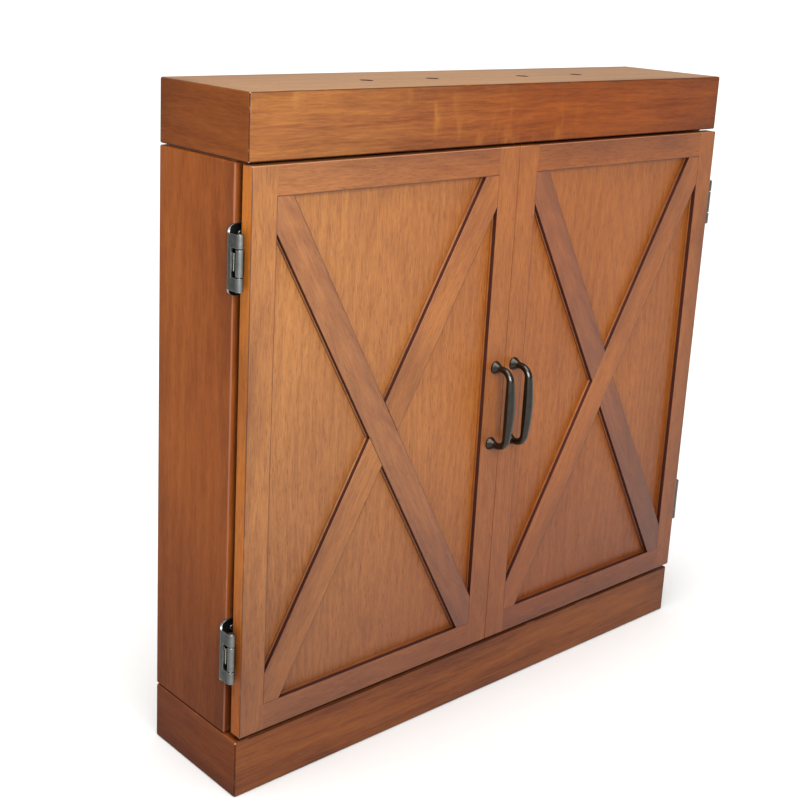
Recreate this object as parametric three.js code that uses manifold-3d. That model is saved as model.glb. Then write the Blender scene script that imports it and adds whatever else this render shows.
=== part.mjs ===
// Dart board cabinet: a shallow wall cabinet with a box cornice and a box base, two barn-style
// doors on self-closing hinges, and a bristle dart board, scoreboards and dart racks inside.
// Millimetres, +Z up. X runs to the right as one faces the doors and +Y runs into the wall.
// The origin lies on the back face, level with the bull's-eye.
import * as THREE from "three";
import { ConvexGeometry } from "three/addons/geometries/ConvexGeometry.js";
import { mergeVertices } from "three/addons/utils/BufferGeometryUtils.js";
import Module from "manifold-3d";

// ---- Driving dimensions. Inside the cabinet, y is counted back from the front of the cornice
// ---- and z up from the underside of the base. "side" counts outwards from the centre line.

const CABINET = { halfWidth: 362, depth: 150, height: 729, bullseye: 366 };
const BOARD = 18; // thickness of the boards of the carcass
const CORNICE = { bottom: 663.75, floor: 12 };
const BASE = { top: 63.75, panel: 12 };
const SHADOW = { height: 1.5, inset: 2 }; // the shadow line between the carcass and its two boxes
const SIDE_FRONT = 21; // how far behind the front the side panels start
const BACK_THICKNESS = 12;
const TOP_HOLE = { radius: 7.5, setback: 67, sides: [71, 165], steps: 20 };

const DOOR = { inner: 0.35, outer: 359.75, front: -3.75, back: 12.25, bottom: 70, top: 661.25 };
const FRAME_WIDTH = 30;
const LEDGE = { setback: 5, width: 1.25 }; // the step round each recessed panel
const PANEL = { front: 3.75, back: 8.75 };
const LEDGE_LEVELS = [DOOR.front + LEDGE.setback, PANEL.front];
const GROOVE = { depth: 8, back: 9, clearance: 0.5 };
const BRACE = { halfWidth: 17, gap: 0.3 };

const HINGE = { heights: { lower: 161.25, upper: 570 }, axisSide: 367.25, axisBack: 3.25 };
const BARREL = { radius: 4, bore: 2.15, halfLength: 27.25, middleHalf: 13, gap: 1 };
const PIN = { radius: 2, head: 3.25, headThickness: 0.75, headGap: 0.25 };
const FRAME_LEAF = { thickness: 2, inner: 348, bend: 5, halfHeight: 35.25, shoulder: 359 };
const LEAF_WINDOW = { back: 12, halfHeight: 14 };
const DOOR_LEAF = { thickness: 1.75, inner: 336, halfHeight: 22, linkFront: 1.25, linkBack: 5.25 };
const SPRING = { side: 368, thickness: 0.9, front: 7.75, back: 15.5, halfHeight: 12 };

const PULL = { side: 15, height: 367.25, halfSpan: 45.25, standOff: 26 };
const PULL_BAR = { neckRadius: 3.9, middleRadius: 6, bendRadius: 13, bow: 1.5, steps: 5, sides: 10 };
const PULL_FOOT = { radius: 7.5, rim: 1.25, length: 8, topRadius: 4.2 };
const SCREW = { radius: 2, hole: 2.4, head: 4, headThickness: 2.25, reach: 6, bore: 7 };

const SCOREBOARD = { inner: 51, outer: 309.75, bottom: 292, top: 611, thickness: 3 };
const RACK = { inner: 110, outer: 250, bottom: 176, top: 236, plate: 6 };
const RACK_SHELF = { bottom: 192, top: 204, depth: 38, holes: [140, 180, 220], holeRadius: 5, holeFront: 20 };

const DARTBOARD = { radius: 225.5, front: 90, back: 128, easing: 3, steps: 48, lift: 1 };
const NUMBER_RING = { inner: 201, outer: 204, thickness: 1.5, steps: 48 };
const BRACKET = { halfWidth: 30, halfHeight: 40, thickness: 3, slot: 5.5 };
const HANGER = { postRadius: 5, discRadius: 12, discThickness: 2.5, steps: 16 };

const ROUND_STEPS = 16; // sides of the small round parts

// ---- Finishes

const STAINED_WOOD = { color: 0xa5602f, roughness: 0.45, metalness: 0 };
const BRACE_WOOD = { color: 0x9c5529, roughness: 0.45, metalness: 0 };
const INNER_WOOD = { color: 0x8a4c24, roughness: 0.6, metalness: 0 };
const PEWTER = { color: 0x6b6d68, roughness: 0.4, metalness: 1 };
const SPRING_STEEL = { color: 0xb8b4a4, roughness: 0.3, metalness: 1 };
const BRONZE = { color: 0x2a2623, roughness: 0.35, metalness: 1 };
const ZINC = { color: 0xb9bbbd, roughness: 0.35, metalness: 1 };
const SLATE = { color: 0x23282a, roughness: 0.85, metalness: 0 };
const SISAL = { color: 0x2b2723, roughness: 0.95, metalness: 0 };

// ---- Solids

const wasm = await Module();
wasm.setup();

// A geometry as a solid that can be cut and joined.
function solidOf(geometry) {
  const bare = new THREE.BufferGeometry();
  const plain = geometry.index ? geometry.toNonIndexed() : geometry;
  bare.setAttribute("position", plain.getAttribute("position").clone());
  const merged = mergeVertices(bare, 1e-4);
  const mesh = new wasm.Mesh({
    numProp: 3,
    vertProperties: merged.attributes.position.array,
    triVerts: new Uint32Array(merged.index.array),
  });
  return new wasm.Manifold(mesh);
}

// A solid back as a geometry with flat shading, without the specks that a cut can leave.
function geometryOf(solid) {
  const bodies = solid.decompose();
  const mesh = bodies.reduce((most, body) => (body.volume() > most.volume() ? body : most)).getMesh();
  const geometry = new THREE.BufferGeometry();
  geometry.setAttribute("position", new THREE.BufferAttribute(mesh.vertProperties, 3));
  geometry.setIndex(new THREE.BufferAttribute(mesh.triVerts, 1));
  const flat = geometry.toNonIndexed();
  flat.computeVertexNormals();
  return flat;
}

function join(...geometries) {
  return geometryOf(geometries.map(solidOf).reduce((whole, part) => whole.add(part)));
}

function cut(geometry, ...tools) {
  return geometryOf(tools.map(solidOf).reduce((left, tool) => left.subtract(tool), solidOf(geometry)));
}

function common(first, second) {
  return geometryOf(solidOf(first).intersect(solidOf(second)));
}

// A box between two limits on each axis.
function block([x0, x1], [y0, y1], [z0, z1]) {
  const box = new THREE.BoxGeometry(x1 - x0, y1 - y0, z1 - z0);
  return box.translate((x0 + x1) / 2, (y0 + y1) / 2, (z0 + z1) / 2);
}

// An outline pushed from one level to another along an axis. Its points are [x, y] for z,
// [y, z] for x and [x, z] for y.
function prism(outline, axis, from, to) {
  const shape = new THREE.Shape(outline.map(([u, v]) => new THREE.Vector2(u, v)));
  const solid = new THREE.ExtrudeGeometry(shape, { depth: to - from, bevelEnabled: false });
  const [x, y, z] = [new THREE.Vector3(1, 0, 0), new THREE.Vector3(0, 1, 0), new THREE.Vector3(0, 0, 1)];
  if (axis === "z") {
    return solid.translate(0, 0, from);
  }
  if (axis === "x") {
    return solid.translate(0, 0, from).applyMatrix4(new THREE.Matrix4().makeBasis(y, z, x));
  }
  return solid.translate(0, 0, -to).applyMatrix4(new THREE.Matrix4().makeBasis(x, z, y.clone().negate()));
}

// A profile of [radius, height] points turned about the z axis.
function turned(profile, steps) {
  const points = profile.map(([r, h]) => new THREE.Vector2(r, h));
  return new THREE.LatheGeometry(points, steps).rotateX(Math.PI / 2);
}

function rod(radius, from, to, steps = ROUND_STEPS) {
  return turned([[0, from], [radius, from], [radius, to], [0, to]], steps);
}

// Turns a shape made about the z axis to lie along y, with its +z end at the front.
function faceForward(geometry) {
  return geometry.rotateX(Math.PI / 2);
}

// Points along an arc, in degrees from the first axis of the outline.
function arc([cu, cv], radiusU, radiusV, from, to, steps) {
  return Array.from({ length: steps + 1 }, (_, i) => {
    const angle = THREE.MathUtils.degToRad(from + ((to - from) * i) / steps);
    return [cu + radiusU * Math.cos(angle), cv + radiusV * Math.sin(angle)];
  });
}

// ---- The assembly

const cabinet = new THREE.Group();
cabinet.position.set(0, -CABINET.depth, -CABINET.bullseye);

function piece(group, name, geometry, finish) {
  const mesh = new THREE.Mesh(geometry, new THREE.MeshStandardMaterial(finish));
  mesh.name = name;
  group.add(mesh);
}

// A board whose outer face is larger than its inner one, for joints cut at 45 degrees.
function mitredBoard(outer, inner) {
  return new ConvexGeometry([...outer, ...inner].map(([x, y, z]) => new THREE.Vector3(x, y, z)));
}

// The front and side boards of the cornice or the base. topInset is the thickness taken off
// the inside of a mitred top edge.
function boxBoards(name, bottom, top, topInset) {
  const { halfWidth: w, depth } = CABINET;
  const inside = w - BOARD;
  const low = top - topInset;
  const front = mitredBoard(
    [[-w, 0, bottom], [w, 0, bottom], [w, 0, top], [-w, 0, top]],
    [[-inside, BOARD, bottom], [inside, BOARD, bottom], [inside, BOARD, low], [-inside, BOARD, low]],
  );
  piece(cabinet, `${name}_front_board`, front, STAINED_WOOD);
  for (const [hand, sign] of [["left", -1], ["right", 1]]) {
    const side = mitredBoard(
      [[sign * w, 0, bottom], [sign * w, depth, bottom], [sign * w, depth, top], [sign * w, 0, top]],
      [
        [sign * inside, BOARD, bottom],
        [sign * inside, depth, bottom],
        [sign * inside, depth, low],
        [sign * inside, BOARD, low],
      ],
    );
    piece(cabinet, `${name}_${hand}_board`, side, STAINED_WOOD);
  }
}

// The panel that closes a box towards the carcass. Its lip makes the shadow line and carries
// the side panels.
function shadowPanel(boxEdge, direction, thickness) {
  const inside = CABINET.halfWidth - BOARD;
  const lipSide = CABINET.halfWidth - SHADOW.inset;
  const back = CABINET.depth - BACK_THICKNESS;
  const levels = (distance) => [boxEdge, boxEdge + direction * distance].sort((a, b) => a - b);
  const panel = block([-inside, inside], [BOARD, back], levels(thickness));
  const lip = block([-lipSide, lipSide], [SIDE_FRONT + SHADOW.inset, back], levels(-SHADOW.height));
  return join(panel, lip);
}

function carcass() {
  const { halfWidth: w, depth, height } = CABINET;
  const inside = w - BOARD;
  const panelBack = depth - BACK_THICKNESS;
  const [low, high] = [BASE.top + SHADOW.height, CORNICE.bottom - SHADOW.height];

  boxBoards("cornice", CORNICE.bottom, height, BOARD);
  boxBoards("base", 0, BASE.top, 0);

  const under = height - BOARD;
  const lid = mitredBoard(
    [[-w, 0, height], [w, 0, height], [w, depth, height], [-w, depth, height]],
    [[-inside, BOARD, under], [inside, BOARD, under], [inside, depth, under], [-inside, depth, under]],
  );
  const holes = TOP_HOLE.sides.flatMap((side) => [-side, side]).map((x) => {
    const drill = rod(TOP_HOLE.radius, under - 1, height + 1, TOP_HOLE.steps);
    return drill.translate(x, TOP_HOLE.setback, 0);
  });
  piece(cabinet, "top_panel", cut(lid, ...holes), STAINED_WOOD);

  piece(cabinet, "cornice_floor", shadowPanel(CORNICE.bottom, 1, CORNICE.floor), INNER_WOOD);
  piece(cabinet, "base_top", shadowPanel(BASE.top, -1, BASE.panel), INNER_WOOD);
  const underside = block([-inside, inside], [BOARD, panelBack], [0, BASE.panel]);
  piece(cabinet, "base_bottom", underside, INNER_WOOD);

  const backPanel = block([-inside, inside], [panelBack, depth], [0, under]);
  piece(cabinet, "back_panel", backPanel, INNER_WOOD);
  piece(cabinet, "left_side_panel", block([-w, -inside], [SIDE_FRONT, depth], [low, high]), STAINED_WOOD);
  piece(cabinet, "right_side_panel", block([inside, w], [SIDE_FRONT, depth], [low, high]), STAINED_WOOD);
}

// ---- Doors. Everything here is made for the right-hand door, and the left-hand one mirrors it.

// Where two lines cross, each given by a point and a direction.
function crossing([p, d], [q, e]) {
  const t = ((q[0] - p[0]) * e[1] - (q[1] - p[1]) * e[0]) / (d[0] * e[1] - d[1] * e[0]);
  return [p[0] + t * d[0], p[1] + t * d[1]];
}

// The opening inside the frame, shrunk by a margin.
function doorOpening(margin) {
  return {
    inner: DOOR.inner + FRAME_WIDTH + margin,
    outer: DOOR.outer - FRAME_WIDTH - margin,
    bottom: DOOR.bottom + FRAME_WIDTH + margin,
    top: DOOR.top - FRAME_WIDTH - margin,
  };
}

// The long brace runs from the top outer corner to the bottom inner one. It is the strip
// round that diagonal, with both ends cut square into the corner.
function longBraceOutline(opening, halfWidth) {
  const { inner, outer, bottom, top } = opening;
  const length = Math.hypot(outer - inner, top - bottom);
  const alongStile = (halfWidth * length) / (outer - inner);
  const alongRail = (halfWidth * length) / (top - bottom);
  return [
    [inner, bottom],
    [inner + alongRail, bottom],
    [outer, top - alongStile],
    [outer, top],
    [outer - alongRail, top],
    [inner, bottom + alongStile],
  ];
}

// A short brace runs from the top inner or the bottom outer corner to the long brace.
function shortBraceOutline(opening, halfWidth, upper) {
  const { inner, outer, bottom, top } = opening;
  const length = Math.hypot(outer - inner, top - bottom);
  const alongStile = (halfWidth * length) / (outer - inner);
  const alongRail = (halfWidth * length) / (top - bottom);
  const clear = ((halfWidth + BRACE.gap) * length) / (top - bottom);
  const along = [outer - inner, top - bottom];
  const across = [outer - inner, bottom - top];
  const [corner, sign] = upper ? [[inner, top], 1] : [[outer, bottom], -1];
  const onRail = [corner[0] + sign * alongRail, corner[1]];
  const onStile = [corner[0], corner[1] - sign * alongStile];
  const nearEdge = [[inner - sign * clear, bottom], along];
  const foot = [onStile, onRail].map((point) => crossing([point, across], nearEdge));
  return [corner, onStile, ...foot, onRail];
}

// A brace has its full width in front and a narrow step beside it at the panel.
function brace(outlineOf) {
  const step = DOOR.front + LEDGE.setback;
  const face = prism(outlineOf(doorOpening(0), BRACE.halfWidth), "y", DOOR.front, step);
  const outline = outlineOf(doorOpening(LEDGE.width), BRACE.halfWidth + LEDGE.width);
  const foot = prism(outline, "y", step, PANEL.front);
  return join(face, foot);
}

// The section of a frame member from its outer edge to the groove: [across, y] points.
function frameSection(outerEdge, innerEdge) {
  const grooveEnd = innerEdge - Math.sign(innerEdge - outerEdge) * GROOVE.depth;
  return [
    [outerEdge, DOOR.front],
    [innerEdge, DOOR.front],
    [innerEdge, PANEL.front],
    [grooveEnd, PANEL.front],
    [grooveEnd, GROOVE.back],
    [innerEdge, GROOVE.back],
    [innerEdge, DOOR.back],
    [outerEdge, DOOR.back],
  ];
}

// The low and high ends of a strip that starts at one level and has a signed width.
function span(start, width) {
  return [Math.min(start, start + width), Math.max(start, start + width)];
}

function stile(outerEdge, innerEdge) {
  const { bottom, top } = doorOpening(0);
  const inwards = Math.sign(innerEdge - outerEdge);
  const body = prism(frameSection(outerEdge, innerEdge), "z", DOOR.bottom, DOOR.top);
  return join(body, block(span(innerEdge, inwards * LEDGE.width), LEDGE_LEVELS, [bottom, top]));
}

// A rail runs between the stiles, with a tongue in the groove of each.
function rail(outerEdge, innerEdge) {
  const { inner, outer } = doorOpening(0);
  const inwards = Math.sign(innerEdge - outerEdge);
  const section = frameSection(outerEdge, innerEdge).map(([z, y]) => [y, z]);
  const ledge = [inner + LEDGE.width, outer - LEDGE.width];
  const shallow = GROOVE.depth - GROOVE.clearance;
  const tongueHeights = span(outerEdge, innerEdge - inwards * GROOVE.depth - outerEdge);
  const tongues = [[inner - shallow, inner + 1], [outer - 1, outer + shallow]].map((range) =>
    block(range, [PANEL.front, PANEL.back], tongueHeights),
  );
  return join(
    prism(section, "x", inner, outer),
    block(ledge, LEDGE_LEVELS, span(innerEdge, inwards * LEDGE.width)),
    ...tongues,
  );
}

function frameMembers(group, hand) {
  const { inner, outer, bottom, top } = doorOpening(0);
  const screwHoles = screwHeights().map((height) => {
    const drill = faceForward(rod(SCREW.hole, -DOOR.back - 1, -DOOR.front + 1, ROUND_STEPS));
    return drill.translate(PULL.side, 0, height);
  });
  piece(group, `${hand}_door_outer_stile`, stile(DOOR.outer, outer), STAINED_WOOD);
  piece(group, `${hand}_door_inner_stile`, cut(stile(DOOR.inner, inner), ...screwHoles), STAINED_WOOD);
  piece(group, `${hand}_door_top_rail`, rail(DOOR.top, top), STAINED_WOOD);
  piece(group, `${hand}_door_bottom_rail`, rail(DOOR.bottom, bottom), STAINED_WOOD);

  const reach = doorOpening(GROOVE.clearance - GROOVE.depth);
  const panel = block([reach.inner, reach.outer], [PANEL.front, PANEL.back], [reach.bottom, reach.top]);
  piece(group, `${hand}_door_panel`, panel, STAINED_WOOD);
}

function braces(group, hand) {
  piece(group, `${hand}_door_long_brace`, brace(longBraceOutline), BRACE_WOOD);
  const upper = brace((opening, width) => shortBraceOutline(opening, width, true));
  const lower = brace((opening, width) => shortBraceOutline(opening, width, false));
  piece(group, `${hand}_door_upper_short_brace`, upper, STAINED_WOOD);
  piece(group, `${hand}_door_lower_short_brace`, lower, STAINED_WOOD);
}

// ---- Pulls and their screws

function screwHeights() {
  return [PULL.height - PULL.halfSpan, PULL.height + PULL.halfSpan];
}

// Half of the bow, from the middle of the bar to the foot: distance from the door and height.
function pullStations() {
  const { standOff, halfSpan } = PULL;
  const { neckRadius, middleRadius, bendRadius, bow, steps } = PULL_BAR;
  const barEnd = halfSpan - bendRadius;
  const shoulder = standOff - bow;
  const bar = Array.from({ length: steps }, (_, i) => {
    const t = i / steps;
    const out = standOff - bow * t * t;
    return { out, up: barEnd * t, lean: 0, radius: middleRadius + (neckRadius - middleRadius) * t * t };
  });
  const turn = arc([shoulder - bendRadius, barEnd], bendRadius, bendRadius, 0, 90, steps);
  const bend = turn.map(([out, up], i) => {
    return { out, up, lean: 90 * (i / steps), radius: neckRadius };
  });
  const neck = { out: PULL_FOOT.length / 2, up: halfSpan, lean: 90, radius: neckRadius };
  return [...bar, ...bend, neck];
}

// A ring of points square to the bow at one station.
function ringPoints({ out, up, lean, radius }, direction) {
  const angle = THREE.MathUtils.degToRad(lean);
  return Array.from({ length: PULL_BAR.sides }, (_, i) => {
    const turn = (2 * Math.PI * i) / PULL_BAR.sides;
    const inPlane = radius * Math.cos(turn);
    const y = DOOR.front - out - inPlane * Math.cos(angle);
    const z = PULL.height + direction * (up + inPlane * Math.sin(angle));
    return new THREE.Vector3(PULL.side + radius * Math.sin(turn), y, z);
  });
}

function pullFoot(height) {
  const { radius, rim, length, topRadius } = PULL_FOOT;
  const flare = arc([radius, length], radius - topRadius, length - rim, 180, 270, 4);
  const profile = [[0, 0], [radius, 0], ...flare.reverse(), [0, length]];
  return faceForward(turned(profile, ROUND_STEPS)).translate(PULL.side, DOOR.front, height);
}

// A closed tube through rings of points that run anticlockwise as seen from its far end.
function tube(rings) {
  const [first, last] = [rings[0], rings[rings.length - 1]];
  const corners = rings.slice(1).flatMap((ring, i) => ring.flatMap((point, k) => {
    const next = (k + 1) % ring.length;
    return [rings[i][k], rings[i][next], ring[next], rings[i][k], ring[next], point];
  }));
  const ends = first.slice(2).flatMap((point, k) => [
    first[0], point, first[k + 1], last[0], last[k + 1], last[k + 2],
  ]);
  return new THREE.BufferGeometry().setFromPoints([...corners, ...ends]);
}

function pull() {
  const upper = pullStations().map((station) => ringPoints(station, 1));
  const lower = pullStations().slice(1).map((station) => ringPoints(station, -1));
  const bow = tube([...lower.reverse(), ...upper]);
  const feet = screwHeights().map(pullFoot);
  const bores = screwHeights().map((height) => {
    const drill = faceForward(rod(SCREW.hole, -1, SCREW.bore, ROUND_STEPS));
    return drill.translate(PULL.side, DOOR.front, height);
  });
  return cut(join(bow, ...feet), ...bores);
}

// A pan-head screw that comes through the stile from inside and holds a foot of the pull.
function pullScrew(height) {
  const { radius, head, headThickness, reach } = SCREW;
  const shank = -DOOR.front + reach;
  const under = -DOOR.back;
  const easing = headThickness / 3;
  const top = under - headThickness;
  const profile = [[0, top], [head - easing, top], [head, top + easing], [head, under], [radius, under]];
  const screw = turned([...profile, [radius, shank], [0, shank]], ROUND_STEPS);
  return faceForward(screw).translate(PULL.side, 0, height);
}

function pullSet(group, hand) {
  const [low, high] = screwHeights();
  piece(group, `${hand}_pull`, pull(), BRONZE);
  piece(group, `${hand}_pull_lower_screw`, pullScrew(low), ZINC);
  piece(group, `${hand}_pull_upper_screw`, pullScrew(high), ZINC);
}

// ---- Self-closing hinges, half wrapped round the back of the door

function knuckle(from, to, height) {
  const tube = cut(rod(BARREL.radius, from, to), rod(BARREL.bore, from - 1, to + 1));
  return tube.translate(HINGE.axisSide, HINGE.axisBack, height);
}

// The fixed leaf is an L in plan: flat on the edge of the side panel, then forward to the barrel.
function frameLeaf(height) {
  const { thickness, inner, bend, halfHeight, shoulder } = FRAME_LEAF;
  const outside = HINGE.axisSide + BARREL.radius;
  const centre = [outside - bend, SIDE_FRONT - bend];
  const section = [
    [inner, SIDE_FRONT - thickness],
    ...arc(centre, bend - thickness, bend - thickness, 90, 0, 4),
    [outside - thickness, HINGE.axisBack],
    [outside, HINGE.axisBack],
    ...arc(centre, bend, bend, 0, 90, 4),
    [inner, SIDE_FRONT],
  ];
  const plate = prism(section, "z", height - halfHeight, height + halfHeight);
  const drop = halfHeight - BARREL.halfLength;
  const level = height + BARREL.halfLength;
  const curve = arc([shoulder, level], outside - thickness - shoulder, drop, 90, 0, 4);
  const round = [...curve, [outside + 1, level]];
  const mirrored = round.map(([side, z]) => [side, 2 * height - z]);
  const ends = [-halfHeight, halfHeight].map((z) => [inner - 1, height + z]);
  const outline = [ends[0], ...mirrored, ...round.reverse(), ends[1]];
  const shaped = common(plate, prism(outline, "y", HINGE.axisBack - 1, SIDE_FRONT + 1));
  const { back, halfHeight: slot } = LEAF_WINDOW;
  const window = block([outside - 2 * thickness, outside + 1], [0, back], [height - slot, height + slot]);
  const start = BARREL.middleHalf + BARREL.gap;
  const bore = rod(BARREL.bore, -BARREL.halfLength - 1, BARREL.halfLength + 1);
  const leaf = join(
    cut(shaped, window),
    knuckle(start, BARREL.halfLength, height),
    knuckle(-BARREL.halfLength, -start, height),
  );
  return cut(leaf, bore.translate(HINGE.axisSide, HINGE.axisBack, height));
}

// The moving leaf carries the middle knuckle, crosses the door's edge and wraps onto its back.
function doorLeaf(height) {
  const { thickness, inner, halfHeight, linkFront, linkBack } = DOOR_LEAF;
  const outside = DOOR.outer + thickness;
  const half = [height - BARREL.middleHalf, height + BARREL.middleHalf];
  const edgePlate = block([DOOR.outer, outside], [linkFront, DOOR.back + thickness], half);
  const link = block([DOOR.outer, HINGE.axisSide - BARREL.bore], [linkFront, linkBack], half);
  const full = [height - halfHeight, height + halfHeight];
  const backPlate = block([inner, DOOR.outer], [DOOR.back, DOOR.back + thickness], full);
  const leaf = join(edgePlate, link, backPlate, knuckle(-BARREL.middleHalf, BARREL.middleHalf, height));
  const bore = rod(BARREL.bore, -BARREL.middleHalf - 1, BARREL.middleHalf + 1);
  return cut(leaf, bore.translate(HINGE.axisSide, HINGE.axisBack, height));
}

function hingePin(height) {
  const { radius, head, headThickness, headGap } = PIN;
  const neck = BARREL.halfLength + headGap;
  const half = [[radius, neck], [head, neck], [head, neck + headThickness], [0, neck + headThickness]];
  const mirrored = half.map(([r, h]) => [r, -h]).reverse();
  return turned([...mirrored, ...half], ROUND_STEPS).translate(HINGE.axisSide, HINGE.axisBack, height);
}

// The leaf spring that closes the door, behind the middle knuckle.
function hingeSpring(height) {
  const { side, thickness, front, back, halfHeight } = SPRING;
  return block([side, side + thickness], [front, back], [height - halfHeight, height + halfHeight]);
}

function hinges(group, hand) {
  for (const [level, height] of Object.entries(HINGE.heights)) {
    piece(group, `${hand}_${level}_hinge_frame_leaf`, frameLeaf(height), PEWTER);
    piece(group, `${hand}_${level}_hinge_door_leaf`, doorLeaf(height), PEWTER);
    piece(group, `${hand}_${level}_hinge_pin`, hingePin(height), PEWTER);
    piece(group, `${hand}_${level}_hinge_spring`, hingeSpring(height), SPRING_STEEL);
  }
}

// ---- Fittings on the inside of a door

function dartRack() {
  const plateBack = PANEL.back + RACK.plate;
  const plate = block([RACK.inner, RACK.outer], [PANEL.back, plateBack], [RACK.bottom, RACK.top]);
  const reach = [plateBack - 1, PANEL.back + RACK_SHELF.depth];
  const shelf = block([RACK.inner, RACK.outer], reach, [RACK_SHELF.bottom, RACK_SHELF.top]);
  const holes = RACK_SHELF.holes.map((side) => {
    const drill = rod(RACK_SHELF.holeRadius, RACK_SHELF.bottom - 1, RACK_SHELF.top + 1, ROUND_STEPS);
    return drill.translate(side, plateBack + RACK_SHELF.holeFront, 0);
  });
  return cut(join(plate, shelf), ...holes);
}

function doorFittings(group, hand) {
  const { inner, outer, bottom, top, thickness } = SCOREBOARD;
  const scoreboard = block([inner, outer], [PANEL.back, PANEL.back + thickness], [bottom, top]);
  piece(group, `${hand}_scoreboard`, scoreboard, SLATE);
  piece(group, `${hand}_dart_rack`, dartRack(), INNER_WOOD);
}

function half(hand, mirror) {
  const group = new THREE.Group();
  group.scale.x = mirror;
  cabinet.add(group);
  hinges(group, hand);
  frameMembers(group, hand);
  braces(group, hand);
  pullSet(group, hand);
  doorFittings(group, hand);
}

// ---- The dart board and its bracket

function bristleBoard() {
  const { radius, front, back, easing, steps } = DARTBOARD;
  const profile = [
    [0, -back], [radius, -back], [radius, -front - easing], [radius - easing, -front], [0, -front],
  ];
  return faceForward(turned(profile, steps)).translate(0, 0, CABINET.bullseye);
}

function numberRing() {
  const { inner, outer, thickness, steps } = NUMBER_RING;
  const near = -DARTBOARD.front;
  const profile = [[inner, near], [outer, near], [outer, near + thickness], [inner, near + thickness]];
  return faceForward(turned([...profile, profile[0]], steps)).translate(0, 0, CABINET.bullseye);
}

// A cup on the back panel with a slot that is open at the top.
function bracket() {
  const { halfWidth: w, halfHeight: h, thickness, slot, pocket } = BRACKET;
  const wall = CABINET.depth - BACK_THICKNESS;
  const seat = DARTBOARD.back + DARTBOARD.lift;
  const z = CABINET.bullseye;
  const plate = block([-w, w], [wall - thickness, wall], [z - h, z + h]);
  const face = block([-w, w], [seat, seat + thickness], [z - h, z + h / 2]);
  const spacers = [[-w, -w + thickness], [w - thickness, w]].map((range) =>
    block(range, [seat + 1, wall - 1], [z - h, z + h / 2]),
  );
  const rest = z - HANGER.postRadius - BRACE.gap;
  const opening = block([-slot, slot], [seat - 1, seat + thickness + 1], [rest, z + h]);
  return cut(join(plate, face, ...spacers), opening);
}

// The screw and disc on the back of the board that drop into the bracket.
function hanger() {
  const { postRadius, discRadius, discThickness, steps } = HANGER;
  const start = -DARTBOARD.back;
  const disc = start - DARTBOARD.lift - BRACKET.thickness - BRACE.gap;
  const profile = [
    [0, disc - discThickness],
    [discRadius, disc - discThickness],
    [discRadius, disc],
    [postRadius, disc],
    [postRadius, start],
    [0, start],
  ];
  return faceForward(turned(profile, steps)).translate(0, 0, CABINET.bullseye);
}

function dartBoard() {
  piece(cabinet, "dartboard_bracket", bracket(), ZINC);
  piece(cabinet, "dartboard_hanger", hanger(), ZINC);
  piece(cabinet, "bristle_board", bristleBoard(), SISAL);
  piece(cabinet, "number_ring", numberRing(), ZINC);
}

carcass();
half("left", -1);
half("right", 1);
dartBoard();

export default cabinet;
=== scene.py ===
import math

import bmesh
import bpy
import numpy as np
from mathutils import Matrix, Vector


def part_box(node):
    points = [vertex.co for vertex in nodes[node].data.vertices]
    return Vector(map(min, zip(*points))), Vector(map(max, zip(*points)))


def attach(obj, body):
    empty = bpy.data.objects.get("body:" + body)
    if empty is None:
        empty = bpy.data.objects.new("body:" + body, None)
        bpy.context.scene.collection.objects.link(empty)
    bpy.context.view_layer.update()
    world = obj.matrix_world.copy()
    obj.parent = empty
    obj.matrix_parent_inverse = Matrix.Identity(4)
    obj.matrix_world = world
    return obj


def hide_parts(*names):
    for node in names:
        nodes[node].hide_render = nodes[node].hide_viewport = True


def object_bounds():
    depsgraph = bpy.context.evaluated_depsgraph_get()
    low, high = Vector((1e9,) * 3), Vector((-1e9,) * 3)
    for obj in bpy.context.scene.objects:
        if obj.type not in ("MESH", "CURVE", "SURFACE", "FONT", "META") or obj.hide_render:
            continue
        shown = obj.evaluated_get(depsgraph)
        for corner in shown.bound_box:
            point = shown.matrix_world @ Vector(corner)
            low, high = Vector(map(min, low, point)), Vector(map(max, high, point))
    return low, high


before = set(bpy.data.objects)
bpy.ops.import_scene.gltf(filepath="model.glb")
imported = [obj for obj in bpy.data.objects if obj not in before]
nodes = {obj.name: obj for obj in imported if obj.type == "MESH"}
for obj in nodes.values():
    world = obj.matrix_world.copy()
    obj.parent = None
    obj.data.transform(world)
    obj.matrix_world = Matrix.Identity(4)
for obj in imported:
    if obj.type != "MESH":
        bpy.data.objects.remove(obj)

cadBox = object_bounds()
mm = 0.001
scene = bpy.context.scene
hands = {"left": -1.0, "right": 1.0}
xAxis, yAxis, zAxis = (1, 0, 0), (0, 1, 0), (0, 0, 1)

viewpoint = {
    "place": (-1.0902, -1.1437, 0.4804),
    "turns": (75.138, -2.627, -41.027),  # tilt, roll and heading, degrees
    "lens": 60.61, "sensor": 36,
    "shift": (0.0375, -0.1),
}

studio = {
    "seenSky": 1.0, "castSky": 0.38,  # the plain white backdrop, and how much of it lights the piece
    "sun": {"turns": (15, 0, -50), "angle": 50, "strength": 3.1, "colour": (1.0, 0.99, 0.97)},
    "key": {"place": (-0.55, -0.95, 0.55), "size": 0.5, "power": 14.5, "colour": (1.0, 0.99, 0.97)},
    "gleam": {"place": (-1.3, -1.1, 0.8), "size": 0.8, "power": 32, "colour": (0.74, 0.88, 1.0)},
    "floor": {"half": 60.0, "colour": (0.93, 0.93, 0.93, 1.0), "gloss": 0.9, "sheen": 0.1},
}


def placeCamera():
    lens = bpy.data.cameras.new("viewCamera")
    lens.lens = viewpoint["lens"]
    lens.sensor_width = viewpoint["sensor"]
    lens.shift_x, lens.shift_y = viewpoint["shift"]
    camera = bpy.data.objects.new("viewCamera", lens)
    camera.location = viewpoint["place"]
    camera.rotation_euler = [math.radians(turn) for turn in viewpoint["turns"]]
    scene.collection.objects.link(camera)
    scene.camera = camera


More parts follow.
